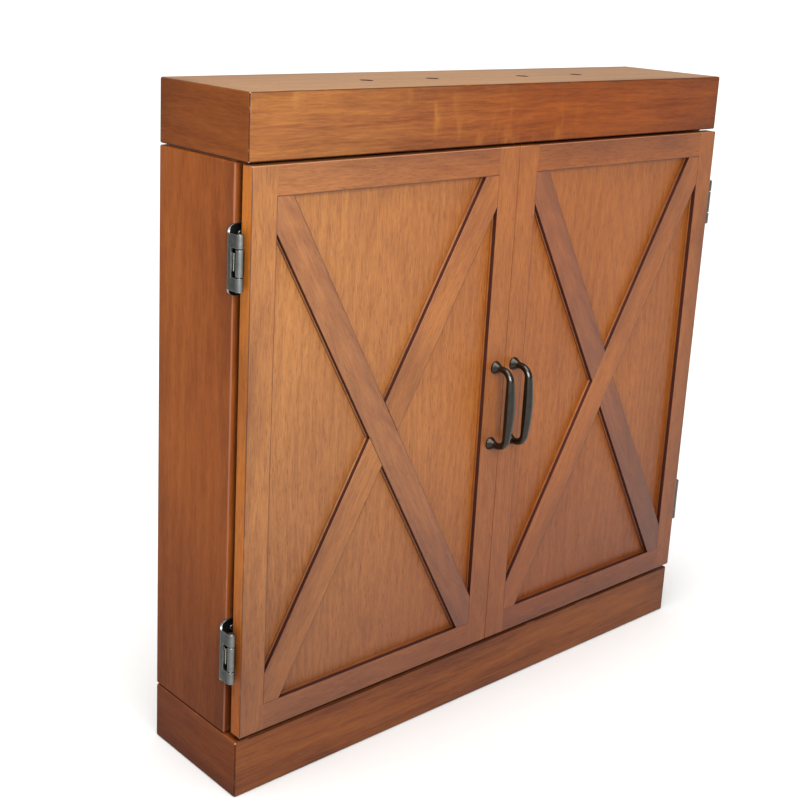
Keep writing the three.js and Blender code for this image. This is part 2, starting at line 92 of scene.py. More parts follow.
def addLight(name, kind, settings):
    lamp = bpy.data.lights.new(name, kind)
    for key, value in settings.items():
        setattr(lamp, key, value)
    holder = bpy.data.objects.new(name, lamp)
    scene.collection.objects.link(holder)
    return holder


def addPanelLight(name, facts):
    # a square panel aimed at the middle of the cabinet
    settings = {"energy": facts["power"], "color": facts["colour"], "size": facts["size"]}
    holder = addLight(name, "AREA", settings)
    holder.location = facts["place"]
    aim = (cadBox[0] + cadBox[1]) / 2 - holder.location
    holder.rotation_euler = aim.to_track_quat("-Z", "Y").to_euler()
    return holder


metalPieces = bpy.data.collections.new("metalPieces")


def setStudio():
    sky = bpy.data.worlds.new("paleSky")
    sky.use_nodes = True
    tree = sky.node_tree
    back = tree.nodes["Background"]
    back.inputs["Color"].default_value = (1, 1, 1, 1)
    seen = tree.nodes.new("ShaderNodeLightPath").outputs["Is Camera Ray"]
    level = tree.nodes.new("ShaderNodeMapRange")
    level.inputs["To Min"].default_value = studio["castSky"]
    level.inputs["To Max"].default_value = studio["seenSky"]
    tree.links.new(seen, level.inputs["Value"])
    tree.links.new(level.outputs[0], back.inputs["Strength"])
    scene.world = sky
    scene.view_settings.view_transform = "Standard"

    sun = studio["sun"]
    holder = addLight("softSun", "SUN", {"energy": sun["strength"], "color": sun["colour"],
                                         "angle": math.radians(sun["angle"])})
    holder.rotation_euler = [math.radians(turn) for turn in sun["turns"]]
    key = addPanelLight("keyLight", studio["key"])
    gleam = addPanelLight("gleamLight", studio["gleam"])
    gleam.light_linking.receiver_collection = metalPieces  # it shows in the metal only

    facts = studio["floor"]
    reach, low = facts["half"], cadBox[0].z
    corners = [(-reach, -reach, low), (reach, -reach, low), (reach, reach, low), (-reach, reach, low)]
    sheet = bpy.data.meshes.new("floor")
    sheet.from_pydata(corners, [], [(0, 1, 2, 3)])
    floor = bpy.data.objects.new("floor", sheet)
    scene.collection.objects.link(floor)
    paint = bpy.data.materials.new("floorPaint")
    paint.use_nodes = True
    shader = paint.node_tree.nodes["Principled BSDF"]
    for name, fact in (("Base Color", "colour"), ("Roughness", "gloss"), ("Specular IOR Level", "sheen")):
        shader.inputs[name].default_value = facts[fact]
    sheet.materials.append(paint)
    spared = bpy.data.collections.new("keySpares")  # the key light leaves the floor alone
    spared.objects.link(floor)
    spared.collection_objects[0].light_linking.link_state = "EXCLUDE"
    key.light_linking.receiver_collection = spared


placeCamera()
setStudio()
print("studio ready")


def addNode(tree, kind, *values, **settings):
    # a shader node with its settings, and its inputs filled in order: signals, numbers or None
    node = tree.nodes.new(kind)
    for key, value in settings.items():
        setattr(node, key, value)
    for socket, value in zip(node.inputs, values):
        if isinstance(value, Signal):
            tree.links.new(value.socket, socket)
        elif value is not None:
            socket.default_value = value
    return node


class Signal:
    # a value in a shader: its sums, products and comparisons add the nodes that work them out
    def __init__(self, socket):
        self.socket, self.tree = socket, socket.id_data

    def maths(self, operation, *values, clamp=False):
        return Signal(addNode(self.tree, "ShaderNodeMath", self, *values, operation=operation,
                              use_clamp=clamp).outputs[0])

    def vectorMaths(self, operation, *values):
        return Signal(addNode(self.tree, "ShaderNodeVectorMath", self, *values,
                              operation=operation).outputs[0])

    def __add__(self, other):
        return self.maths("ADD", other)

    def __sub__(self, other):
        return self.maths("SUBTRACT", other)

    def __rsub__(self, other):
        return self * -1.0 + other

    def __mul__(self, other):
        return self.maths("MULTIPLY", other)

    def __gt__(self, other):
        return self.maths("GREATER_THAN", other)

    def __lt__(self, other):
        return self.maths("LESS_THAN", other)

    def clamped(self):
        return self.maths("ADD", 0.0, clamp=True)

    def stretched(self, factors):
        return self.vectorMaths("MULTIPLY", factors)

    def split(self):
        return [Signal(output) for output in addNode(self.tree, "ShaderNodeSeparateXYZ", self).outputs]

    def noise(self, scale, detail=2.0, rough=0.5):
        # a scale of three numbers stretches the pattern, one number sets its size
        stretched = isinstance(scale, tuple)
        node = addNode(self.tree, "ShaderNodeTexNoise", self.stretched(scale) if stretched else self)
        for name, value in (("Scale", 1.0 if stretched else scale), ("Detail", detail), ("Roughness", rough)):
            node.inputs[name].default_value = value
        return Signal(node.outputs[0])

    def fade(self, start, end, low=0.0, high=1.0):
        # a smooth step from low at start to high at end
        return Signal(addNode(self.tree, "ShaderNodeMapRange", self, start, end, low, high,
                              interpolation_type="SMOOTHSTEP").outputs[0])


def blend(factor, first, second, mode="MIX"):
    tree = next(value.tree for value in (factor, first, second) if isinstance(value, Signal))
    node = addNode(tree, "ShaderNodeMix", data_type="RGBA", blend_type=mode, clamp_factor=True)
    for index, value in ((0, factor), (6, first), (7, second)):
        if isinstance(value, Signal):
            tree.links.new(value.socket, node.inputs[index])
        else:
            node.inputs[index].default_value = (*value, 1) if index else value
    return Signal(node.outputs[2])


def toned(colour, tone):
    return blend(1.0, colour, tone, "MULTIPLY")


def attribute(tree, name):
    return Signal(addNode(tree, "ShaderNodeAttribute", attribute_name=name).outputs["Vector"])


def objectPlace(tree):
    return Signal(addNode(tree, "ShaderNodeTexCoord").outputs["Object"])


def newMaterial(name):
    material = bpy.data.materials.new(name)
    material.use_nodes = True
    return material, material.node_tree


def finishMaterial(material, colour, roughness, height, relief, sockets):
    # colour and roughness vary, so they are linked; uniform values go on the shader's own sockets
    tree = material.node_tree
    shader = tree.nodes["Principled BSDF"]
    bump = addNode(tree, "ShaderNodeBump")
    bump.inputs["Strength"].default_value, bump.inputs["Distance"].default_value = relief
    for source, socket in ((colour.socket, shader.inputs["Base Color"]),
                           (roughness.socket, shader.inputs["Roughness"]),
                           (height.socket, bump.inputs["Height"]), (bump.outputs[0], shader.inputs["Normal"])):
        tree.links.new(source, socket)
    for name, value in sockets.items():
        shader.inputs[name].default_value = value
    return material


plainWood = {  # what a look has unless it says otherwise
    "hazeTints": None, "low": (0.69, 0.58, 0.61), "goldSheen": None, "grain": (0.7, 0.5, 0.7, 1.2),
    "strand": (34, 290, 290), "figure": 0.0, "poreShare": 0.5,
}
# in each look the haze tints are a painted sheen across the front, low is a painted shade towards the bottom,
# the glaze colour also paints the shade along recess edges, and the crest colour where an arris faces up is
# mostly a painted highlight
woodLooks = {
    "stainedWood": {
        "light": (0.304, 0.108, 0.026), "dark": (0.150, 0.042, 0.0105), "pore": (0.064, 0.017, 0.005),
        "glazeAndShade": (0.036, 0.009, 0.006), "arris": (0.036, 0.009, 0.006), "litCrest": (0.32, 0.15, 0.09),
        "hazeTints": ((1.02, 1.17, 1.26), (1.00, 0.86, 0.45)),
        "grain": (0.65, 0.35, 0.70, 1.1), "strand": (46, 430, 430),
        "ringSpacing": 0.011, "ringDepth": 0.07, "gloss": 0.40, "lacquer": 0.38,
    },
    "caseWood": {
        "light": (0.250, 0.072, 0.013), "dark": (0.120, 0.027, 0.007), "pore": (0.080, 0.021, 0.006),
        "glazeAndShade": (0.036, 0.008, 0.006), "arris": (0.022, 0.006, 0.004), "litCrest": (0.030, 0.010, 0.006),
        "hazeTints": ((1.03, 1.36, 1.85), (0.90, 0.72, 0.27)), "low": (1, 1, 1), "goldSheen": (0.36, 0.130, 0.026),
        "grain": (0.6, 1.1, 1.35, 1.0), "strand": (13, 310, 310),
        "ringSpacing": 0.021, "ringDepth": 0.05, "figure": 0.035, "poreShare": 0.25,
        "gloss": 0.38, "lacquer": 0.16,
    },
    # the top panel is lighter than the other boards, a painted highlight for the light from above
    "litTopWood": {
        "light": (0.424, 0.214, 0.077), "dark": (0.286, 0.128, 0.044), "pore": (0.205, 0.085, 0.032),
        "glazeAndShade": (0.120, 0.040, 0.022), "arris": (0.070, 0.024, 0.012), "litCrest": (0.060, 0.020, 0.010),
        "ringSpacing": 0.021, "ringDepth": 0.06, "figure": 0.03, "poreShare": 0.2,
        "gloss": 0.36, "lacquer": 0.6,
    },
    "sideWood": {
        "light": (0.305, 0.086, 0.0145), "dark": (0.178, 0.041, 0.008), "pore": (0.095, 0.024, 0.007),
        "glazeAndShade": (0.030, 0.007, 0.005), "arris": (0.030, 0.008, 0.006), "litCrest": (0.17, 0.055, 0.020),
        "low": (1, 1, 1), "grain": (1.2, 0.7, 0.8, 1.1),
        "ringSpacing": 0.017, "ringDepth": 0.08, "figure": 0.02, "poreShare": 0.25,
        "gloss": 0.48, "lacquer": 0.06,
    },
    "braceWood": {
        "light": (0.290, 0.104, 0.029), "dark": (0.165, 0.050, 0.014), "pore": (0.070, 0.019, 0.007),
        "glazeAndShade": (0.038, 0.009, 0.007), "arris": (0.060, 0.016, 0.010), "litCrest": (0.34, 0.15, 0.08),
        "hazeTints": ((1.10, 1.22, 1.14), (0.90, 0.74, 0.44)), "low": (0.58, 0.47, 0.46),
        "grain": (0.65, 0.35, 0.70, 1.1), "strand": (40, 430, 430),
        "ringSpacing": 0.007, "ringDepth": 0.12, "gloss": 0.40, "lacquer": 0.5,
    },
    "innerWood": {
        "light": (0.260, 0.105, 0.040), "dark": (0.165, 0.058, 0.022), "pore": (0.085, 0.026, 0.011),
        "glazeAndShade": (0.060, 0.018, 0.009), "arris": (0.090, 0.030, 0.015), "litCrest": (0.20, 0.075, 0.030),
        "ringSpacing": 0.016, "ringDepth": 0.20, "gloss": 0.55, "lacquer": 0.3,
    },
    # the door's hinge edge is a lighter copy of the stain, painting the light that falls on that face
    "litEdgeWood": {
        "light": (0.520, 0.172, 0.022), "dark": (0.300, 0.082, 0.011), "pore": (0.120, 0.030, 0.007),
        "glazeAndShade": (0.050, 0.011, 0.006), "arris": (0.036, 0.009, 0.006), "litCrest": (0.40, 0.20, 0.10),
        "ringSpacing": 0.012, "ringDepth": 0.10, "poreShare": 0.4, "gloss": 0.50, "lacquer": 0.1,
    },
    # a dark finish for the recess walls and the holes' walls: glaze, and the painted shade of the recesses
    "recessGlazeAndShade": {
        "light": (0.066, 0.017, 0.011), "dark": (0.030, 0.007, 0.005), "pore": (0.014, 0.004, 0.003),
        "glazeAndShade": (0.018, 0.004, 0.003), "arris": (0.018, 0.004, 0.003), "litCrest": (0.06, 0.02, 0.01),
        "ringSpacing": 0.008, "ringDepth": 0.10, "poreShare": 0.4, "gloss": 0.50, "lacquer": 0.3,
    },
}
woodLooks["baseWood"] = {**woodLooks["caseWood"], "goldSheen": None,
                         "hazeTints": ((0.93, 1.09, 1.22), (0.96, 1.10, 1.05))}
# the side panels: their arris colour is light, a painted highlight along the front arrises, and low darkens
# them towards the bottom, a painted shade
woodLooks["flankWood"] = {**woodLooks["sideWood"], "low": (0.56, 0.50, 0.50),
                          "arris": (0.22, 0.092, 0.058), "litCrest": (0.13, 0.05, 0.03)}

woodGrain = {  # cells a metre along, across and through the board
    "waver": (2.6, 10, 10), "cloud": (4, 9, 9), "streak": (7, 75, 75), "fibre": (55, 620, 620),
    "pores": (95, 1250, 1250), "ripple": (26, 60, 60), "curl": (60, 240, 240),
    "shimmer": (52, 16, 16), "patch": (9, 14, 14), "rag": (30, 90, 90),
    "seedShift": (3.1, 1.7, 2.3), "wander": 0.05, "slope": 0.12, "heart": 0.012, "bend": (0.0, 0.02, 0.02),
    "poreFade": (0.57, 0.70), "figureFade": (0.42, 0.62), "figureGain": 8,
    "shimmerFade": (0.48, 0.66), "patchFade": (0.50, 0.66, 0.0, 0.5),
}
woodWear = {  # metres from the arris, the recess or the corner, and where in x and z the painted sheen and the painted low shade drift
    "hazeDrift": (-0.30, 0.09), "lowShadeDrift": (-0.31, 0.02), "redder": (0.92, 0.72, 0.90),
    "broad": (0.030, 0.0), "broadShare": (0.35, 0.65, 0.04, 0.34), "litCrestFacing": (0.2, 0.5),
    "thin": (0.0019, 0.0013), "thinRag": 0.0006, "thinShare": 0.8,
    "recessShade": (0.0017, 0.0008), "recessShadeRag": 0.0008, "recessShadeShare": (0.0, 1.0, 0.1, 0.75),
    "paleArris": (0.0012, 0.0007), "paleArrisSpots": (0.60, 0.68), "paleArrisShare": 0.4, "bare": (0.34, 0.17, 0.10),
    "paleCorner": (0.0021, 0.0017), "paleCornerRag": 0.0012, "paleCornerShare": 0.7, "paleCornerTone": (0.55, 0.50, 0.44),
}
woodSheen = {"streaks": 0.2, "pores": 0.15, "fibre": 0.6, "relief": (0.3, 0.0002)}


def arrisGaps(space, half):
    # distances of a surface point from the planes of its case's box, in order of size: the middle
    # one is the distance to the nearest arris, the largest the distance to the nearest corner
    x, y, z = half.vectorMaths("SUBTRACT", space.vectorMaths("ABSOLUTE")).split()
    low, high = x.maths("MINIMUM", y), x.maths("MAXIMUM", y)
    return low.maths("MAXIMUM", high.maths("MINIMUM", z)), high.maths("MAXIMUM", z)


def recessLine(tree):
    # distance to the nearest edge of a recess, from its place and half sizes, large where a piece
    # has none, and 1 along the edges that lie in their own shade
    u, v, _ = attribute(tree, "recessSpace").split()
    halfU, halfV, known = attribute(tree, "recessHalf").split()
    gapU, gapV = u.maths("ABSOLUTE") - halfU, v.maths("ABSOLUTE") - halfV
    gap = gapU.maths("MAXIMUM", gapV).maths("ABSOLUTE")
    upright = gapU > gapV
    shaded = (v > 0.0) * (1.0 - upright) + (u < 0.0) * upright
    return gap + (1.0 - known), shaded


def woodMaterial(name):
    look = {**plainWood, **woodLooks[name]}
    grain, wear, sheen = woodGrain, woodWear, woodSheen
    material, tree = newMaterial(name)
    space = attribute(tree, "boardSpace")
    seed, tone, red = attribute(tree, "boardLook").split()
    place = space.vectorMaths("ADD", seed.stretched(grain["seedShift"]))

    # growth rings: bands of the distance to a heart line that dips along the board
    waver = place.noise(grain["waver"], 3) - 0.5
    along, across, _ = space.split()
    sideways = waver * grain["wander"] + across
    dip = along * grain["slope"] + (waver * grain["wander"] + grain["heart"])
    reach = (sideways * sideways + dip * dip).maths("SQRT")
    bands = (reach * (2 * math.pi / look["ringSpacing"])).maths("SINE")
    cloud = place.noise(grain["cloud"], 3)
    streak = place.noise(grain["streak"], 4, 0.6)
    bent = place.vectorMaths("ADD", waver.stretched(grain["bend"]))
    strand = bent.noise(look["strand"], 3, 0.6)
    fibre = bent.noise(grain["fibre"], 4, 0.6)
    pores = bent.noise(grain["pores"], 2).fade(*grain["poreFade"])

    shade = bands * look["ringDepth"] + 0.5
    for field, weight in zip((cloud, streak, strand, fibre), look["grain"]):
        shade = (field - 0.5) * weight + shade
    if look["figure"]:  # wavy figure across the grain, strong only here and there
        wave = bent.noise(grain["ripple"], 2) + place.noise(grain["curl"], 3) - 1.0
        here = cloud.fade(*grain["figureFade"])
        shade = wave * here * (look["figure"] * grain["figureGain"]) + shade
    colour = blend(shade.clamped(), look["light"], look["dark"])
    if look["goldSheen"]:  # patches of painted golden sheen, the shimmer of the figure, running across the grain
        shimmer = bent.noise(grain["shimmer"], 3, 0.55).fade(*grain["shimmerFade"])
        colour = blend(shimmer * place.noise(grain["patch"], 1).fade(*grain["patchFade"]), colour, look["goldSheen"])
    whereX, _, whereZ = objectPlace(tree).split()
    if look["hazeTints"]:  # a painted sheen: paler towards the left of the front and more golden towards the right
        colour = toned(colour, blend(whereX.fade(*wear["hazeDrift"]), *look["hazeTints"]))
    colour = blend(pores * look["poreShare"], colour, look["pore"])
    colour = blend(red, colour, wear["redder"], "MULTIPLY")
    colour = toned(colour, tone + 1.0)

    # the colour is darkened towards the bottom, a painted shade; glaze gathers towards the arrises,
    # and the arris itself is burnished dark; where it faces up it takes the lit crest colour, mostly a
    # painted highlight, and it has a few pale spots along it and at the corners
    colour = toned(colour, blend(whereZ.fade(*wear["lowShadeDrift"]), look["low"], (1, 1, 1)))
    edge, corner = arrisGaps(attribute(tree, "caseSpace"), attribute(tree, "caseHalf"))
    rag = place.noise(grain["rag"], 3)
    colour = blend(edge.fade(*wear["broad"]) * cloud.fade(*wear["broadShare"]), colour, look["glazeAndShade"])
    # where the arris faces up it takes the lit crest colour, mostly a painted highlight
    facing = Signal(addNode(tree, "ShaderNodeNewGeometry").outputs["Normal"]).split()[2]
    line = blend(facing.fade(*wear["litCrestFacing"]), look["arris"], look["litCrest"])
    thin = (rag * wear["thinRag"] + edge).fade(*wear["thin"])
    colour = blend(thin * wear["thinShare"], colour, line)
    # a dark line along the recess edges, strong where the edge lies in its own shade and faint elsewhere:
    # painted shade
    recess, shaded = recessLine(tree)
    recessShade = (rag * wear["recessShadeRag"] + recess).fade(*wear["recessShade"])
    colour = blend(recessShade * shaded.fade(*wear["recessShadeShare"]), colour, look["glazeAndShade"])
    # pale spots along the arris and at the corners of the box
    paleArris = edge.fade(*wear["paleArris"]) * rag.fade(*wear["paleArrisSpots"])
    paleCorner = (rag * wear["paleCornerRag"] + corner).fade(*wear["paleCorner"])
    colour = blend(paleArris * wear["paleArrisShare"], colour, wear["bare"])
    colour = blend(paleCorner * wear["paleCornerShare"], colour, wear["paleCornerTone"])

    gloss = (pores * sheen["pores"] + ((streak - 0.5) * sheen["streaks"] + look["gloss"])).clamped()
    height = fibre * sheen["fibre"] - pores
    return finishMaterial(material, colour, gloss, height, sheen["relief"],
                          {"Specular IOR Level": look["lacquer"]})


metalLooks = {
    "pewter": {"light": (0.062, 0.068, 0.060), "dark": (0.026, 0.030, 0.031), "rubAndHighlight": (0.44, 0.44, 0.42),
               "gloss": 0.33, "grain": 900, "edge": 0.6, "coat": 0.0, "relief": 0.25},
    "springSteel": {"light": (0.80, 0.75, 0.60), "dark": (0.50, 0.46, 0.36), "rubAndHighlight": (0.95, 0.92, 0.82),
                    "gloss": 0.28, "grain": 1400, "edge": 0.4, "coat": 0.0, "relief": 0.15},
    "bronze": {"light": (0.030, 0.023, 0.016), "dark": (0.017, 0.0135, 0.010), "rubAndHighlight": (0.16, 0.12, 0.08),
               "gloss": 0.36, "grain": 700, "edge": 0.2, "coat": 0.55, "relief": 0.04},
    "zincSteel": {"light": (0.66, 0.67, 0.68), "dark": (0.40, 0.41, 0.42), "rubAndHighlight": (0.85, 0.86, 0.87),
                  "gloss": 0.32, "grain": 1100, "edge": 0.5, "coat": 0.0, "relief": 0.15},
}
metalGrain = {"cloud": 160, "brush": (1500, 1500, 60), "shade": (0.35, 0.75), "reliefDepth": 0.00012,
              "coatGloss": 0.12}


def metalMaterial(name):
    look = metalLooks[name]
    material, tree = newMaterial(name)
    place = objectPlace(tree)
    rim = attribute(tree, "rim").split()[0]
    cloud = place.noise(metalGrain["cloud"], 4, 0.6)
    grain = place.noise(look["grain"], 3, 0.6)
    brush = place.noise(metalGrain["brush"], 3)
    colour = blend((brush * 0.5 + cloud * 0.6).fade(*metalGrain["shade"]), look["dark"], look["light"])
    # the rim attribute pulls the colour towards the rub colour: wear along the open edges and on the screws,
    # and on the knuckles a painted highlight
    wornAndLit = (rim * (cloud * look["edge"] + look["edge"] * 0.5)).clamped()
    colour = blend(wornAndLit, colour, look["rubAndHighlight"])
    gloss = ((grain - 0.5) * look["relief"] + look["gloss"]).clamped()
    relief = (look["relief"], metalGrain["reliefDepth"])
    sockets = {"Metallic": 1.0, "Coat Weight": look["coat"], "Coat Roughness": metalGrain["coatGloss"]}
    return finishMaterial(material, colour, gloss, grain * 0.6 + cloud, relief, sockets)


chalkLook = {"swirl": (9, 9, 22), "dust": 900, "share": (0.42, 0.78, 0.0, 0.3), "board": (0.016, 0.019, 0.019),
             "chalk": (0.16, 0.17, 0.16), "gloss": 0.72, "relief": (0.3, 0.0002)}


def chalkMaterial():
    look = chalkLook
    material, tree = newMaterial("slate")
    place = objectPlace(tree)
    swirl = place.noise(look["swirl"], 5, 0.65)
    colour = blend(swirl.fade(*look["share"]), look["board"], look["chalk"])
    return finishMaterial(material, colour, swirl * 0.2 + look["gloss"], place.noise(look["dust"]),
                          look["relief"], {"Specular IOR Level": 0.3})


boardRings = {"bull": 6.35, "outerBull": 15.9, "trebleIn": 99.0, "trebleOut": 107.0, "doubleIn": 162.0,
              "doubleOut": 170.0}
sectors = 20
sisalLook = {
    "black": (0.012, 0.011, 0.010), "cream": (0.62, 0.50, 0.30), "red": (0.42, 0.014, 0.014),
    "green": (0.010, 0.130, 0.045), "tips": 1500, "tipShade": (0.35, 0.75, 0.0, 0.45), "cloud": 30,
    "gloss": 0.85, "relief": (0.6, 0.0004),
}


def sisalMaterial():
    look = sisalLook
    material, tree = newMaterial("sisal")
    place = objectPlace(tree)
    x, _, z = place.split()
    radius = (x * x + z * z).maths("SQRT")
    sector = x.maths("ARCTAN2", z) * (sectors / (2 * math.pi)) + (sectors + 0.5)
    odd = sector.maths("MODULO", 2.0) > 1.0
    ring = {key: value * mm for key, value in boardRings.items()}

    def band(name):
        return (radius > ring[name + "In"]) * (radius < ring[name + "Out"])

    colour = blend(odd, look["black"], look["cream"])
    colour = blend(band("treble").maths("MAXIMUM", band("double")), colour,
                   blend(odd, look["red"], look["green"]))
    colour = blend(radius < ring["outerBull"], colour, look["green"])
    colour = blend(radius < ring["bull"], colour, look["red"])
    colour = blend(radius > ring["doubleOut"], colour, look["black"])
    tips = place.noise(look["tips"], 3, 0.7)
    colour = blend(tips.fade(*look["tipShade"]), colour, (0, 0, 0))
    gloss = place.noise(look["cloud"], 3) * 0.1 + look["gloss"]
    return finishMaterial(material, colour, gloss, tips, look["relief"], {"Specular IOR Level": 0.2})


materials = {name: woodMaterial(name) for name in woodLooks}
materials.update({name: metalMaterial(name) for name in metalLooks})
materials["slate"] = chalkMaterial()
materials["sisal"] = sisalMaterial()
slotOf = {**dict.fromkeys(woodLooks, "stained_wood"), "braceWood": "brace_wood", "innerWood": "inner_wood",
          "pewter": "pewter", "springSteel": "spring_steel", "bronze": "bronze", "zincSteel": "zinc_steel",
          "slate": "slate", "sisal": "sisal"}
print("materials ready")


def addPiece(name, mesh, finish, body, replaced=(), others=()):
    piece = bpy.data.objects.new(name, mesh)
    scene.collection.objects.link(piece)
    for used in (finish, *others):
        mesh.materials.append(materials[used])
    if finish in metalLooks:
        metalPieces.objects.link(piece)
    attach(piece, body)
    if replaced:
        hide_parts(*replaced)
    return piece


def meshFrom(name, points, faces):
    mesh = bpy.data.meshes.new(name)
    mesh.from_pydata(points.tolist(), [], [tuple(int(i) for i in face) for face in faces])
    mesh.polygons.foreach_set("use_smooth", [True] * len(mesh.polygons))
    mesh.update()
    return mesh


def setAttribute(mesh, name, values):
    layer = mesh.attributes.new(name, "FLOAT_VECTOR", "POINT")
    layer.data.foreach_set("vector", np.asarray(values, np.float32).ravel())


def coordinates(mesh):
    points = np.zeros(len(mesh.vertices) * 3)
    mesh.vertices.foreach_get("co", points)
    return points.reshape(-1, 3)


def gridFaces(rows, columns, closeRows=False, closeColumns=False):
    # quads of a grid of points numbered row by row
    r = np.arange(rows if closeRows else rows - 1)[:, None]
    c = np.arange(columns if closeColumns else columns - 1)[None, :]
    here, above = r * columns, (r + 1) % rows * columns
    c2 = (c + 1) % columns
    return np.stack([here + c, here + c2, above + c2, above + c], -1).reshape(-1, 4)


def boxOf(low, high):
    low, high = np.array(low), np.array(high)
    return (low + high) / 2, (high - low) / 2


def markBoard(mesh, centre, along, across, case, look):
    # boardSpace: the place along, across and through the board from its centre, for the grain;
    # caseSpace and caseHalf: the place in the box whose arrises are worn, and its half sizes
    points = coordinates(mesh)
    axes = np.array([along, across, np.cross(along, across)], float)
    setAttribute(mesh, "boardSpace", (points - centre) @ axes.T)
    setAttribute(mesh, "caseSpace", (points - case["centre"]) @ case["axes"].T)
    setAttribute(mesh, "caseHalf", np.tile(case["half"], (len(points), 1)))
    setAttribute(mesh, "boardLook", np.tile(look, (len(points), 1)))


def caseOf(low, high, grow=(0, 0, 0)):
    centre, half = boxOf(low, high)
    return {"centre": centre, "half": half + np.array(grow), "axes": np.eye(3)}


near = 0.05 * mm  # two places closer than this are one place


def solidCopy(node):
    solid = bmesh.new()
    solid.from_mesh(nodes[node].data)
    bmesh.ops.remove_doubles(solid, verts=solid.verts, dist=0.01 * mm)
    bmesh.ops.dissolve_limit(solid, angle_limit=math.radians(0.5), verts=solid.verts, edges=solid.edges)
    return solid


def finishedMesh(solid, mesh):
    solid.to_mesh(mesh)
    solid.free()
    mesh.update()
    return mesh


def cutAcross(solid, place, axis):
    # new edges where the plane through a place, square to an axis, meets the solid
    point, normal = np.zeros(3), np.zeros(3)
    point[axis], normal[axis] = place, 1
    bmesh.ops.bisect_plane(solid, geom=solid.verts[:] + solid.edges[:] + solid.faces[:],
                           dist=0.001 * mm, plane_co=point, plane_no=normal)


def bevelEdges(solid, edges, radius, steps):
    made = bmesh.ops.bevel(solid, geom=edges, offset=radius, offset_type="OFFSET", segments=steps,
                           profile=0.5, affect="EDGES", clamp_overlap=True)
    for face in made["faces"]:
        face.smooth = True


def easedMesh(node, radius, steps=3, case=None, caseRadius=0.0, opening=None):
    # the arrises of a copy of the CAD solid rounded over, those on the arrises of the case's box
    # more than the others; flats stay flat, the rounds are smooth. Where rails meet stiles, beyond
    # the corners of the opening, the edges stay sharp and the joint is tight
    solid = solidCopy(node)
    if opening:
        for level in (-1, 1):
            cutAcross(solid, opening[0][1] + level * opening[1][1], 2)
    for face in solid.faces:
        face.smooth = False

    def onCase(edge):
        ends = np.array([v.co for v in edge.verts])
        touching = np.abs(np.abs(ends - case["centre"]) - case["half"]) < near
        return np.sum(touching.all(axis=0)) >= 2

    def inJoint(edge):
        gaps = [np.abs(np.array((v.co.x, v.co.z)) - opening[0]) - opening[1] for v in edge.verts]
        return all(abs(gap[0]) < near and gap[1] > -near for gap in gaps)

    if case:
        bevelEdges(solid, [e for e in solid.edges if onCase(e)], caseRadius, 4)
    sharp = [e for e in solid.edges if len(e.link_faces) == 2 and not (opening and inJoint(e))
             and e.calc_face_angle() > math.radians(38)]
    bevelEdges(solid, sharp, radius, steps)
    return finishedMesh(solid, bpy.data.meshes.new(node))


def boxEasedMesh(node, low, high, radius, steps=4):
    # planes are cut near the faces of a box shared by several boards, and what lies outside the
    # rounded box is drawn in to it: centre of the nearest inner point plus radius along the gap
    solid = solidCopy(node)
    low, high = np.array(low), np.array(high)
    for axis in range(3):
        for side, sign in ((low, 1), (high, -1)):
            for step in range(1, steps + 1):
                inset = radius * (1 - math.cos(math.pi / 2 * step / steps))
                cutAcross(solid, side[axis] + sign * inset, axis)
    mesh = finishedMesh(solid, bpy.data.meshes.new(node))
    points = coordinates(mesh)
    nearest = np.clip(points, low + radius, high - radius)
    gap = points - nearest
    length = np.linalg.norm(gap, axis=1)
    moved = length > radius * 1.0001
    points[moved] = nearest[moved] + gap[moved] * (radius / length[moved])[:, None]
    mesh.vertices.foreach_set("co", points.ravel())
    rounds = [bool(moved[list(face.vertices)].any()) for face in mesh.polygons]
    mesh.polygons.foreach_set("use_smooth", rounds)
    mesh.update()
    return mesh


def addBoard(node, mesh, finish, body, grain, case, look, others=()):
    markBoard(mesh, boxOf(*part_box(node))[0], *grain, case, look)
    addPiece(node + "_eased", mesh, finish, body, [node], others)


carcassLook = {"radius": 2.2 * mm, "sideRadius": 2.0 * mm, "insideRadius": 0.8 * mm, "sideReach": 20 * mm,
               "sideSeed": 5.0, "insideSeed": 7.0,
               "holeFace": 30 * mm * mm}  # the faces of the holes' walls are smaller than this
boxBoards = {  # finish, grain along, across, seed, tone, redness
    "front_board": ("caseWood", xAxis, zAxis, (1.0, 0.03, 0.0)),
    "left_board": ("sideWood", yAxis, zAxis, (2.0, -0.29, 0.1)),
    "right_board": ("sideWood", yAxis, zAxis, (3.0, -0.29, 0.1)),
}
boxTones = {"cornice": (0.0, 0.0, 0.0), "base": (10.0, -0.15, 0.5)}  # added to each board's look
baseBoards = {key: ("baseWood" if finish == "caseWood" else finish, *rest)
              for key, (finish, *rest) in boxBoards.items()}


def buildBox(name, pieces):
    # the boards of the cornice or the base share one rounded box
    corners = [np.array(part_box(f"{name}_{board}")) for board in boxBoards]
    low = np.min([c[0] for c in corners], axis=0)
    high = np.max([c[1] for c in corners], axis=0)
    for node, (finish, along, across, look) in pieces.items():
        mesh = boxEasedMesh(node, low, high, carcassLook["radius"])
        for face in mesh.polygons:
            # the walls of the holes get the dark recess finish, a painted shade
            if node == "top_panel" and abs(face.normal.z) < 0.3 and face.area < carcassLook["holeFace"]:
                face.material_index = 1
        addBoard(node, mesh, finish, "cabinet", (along, across), caseOf(low, high),
                 np.array(look) + boxTones[name], ["recessGlazeAndShade"])


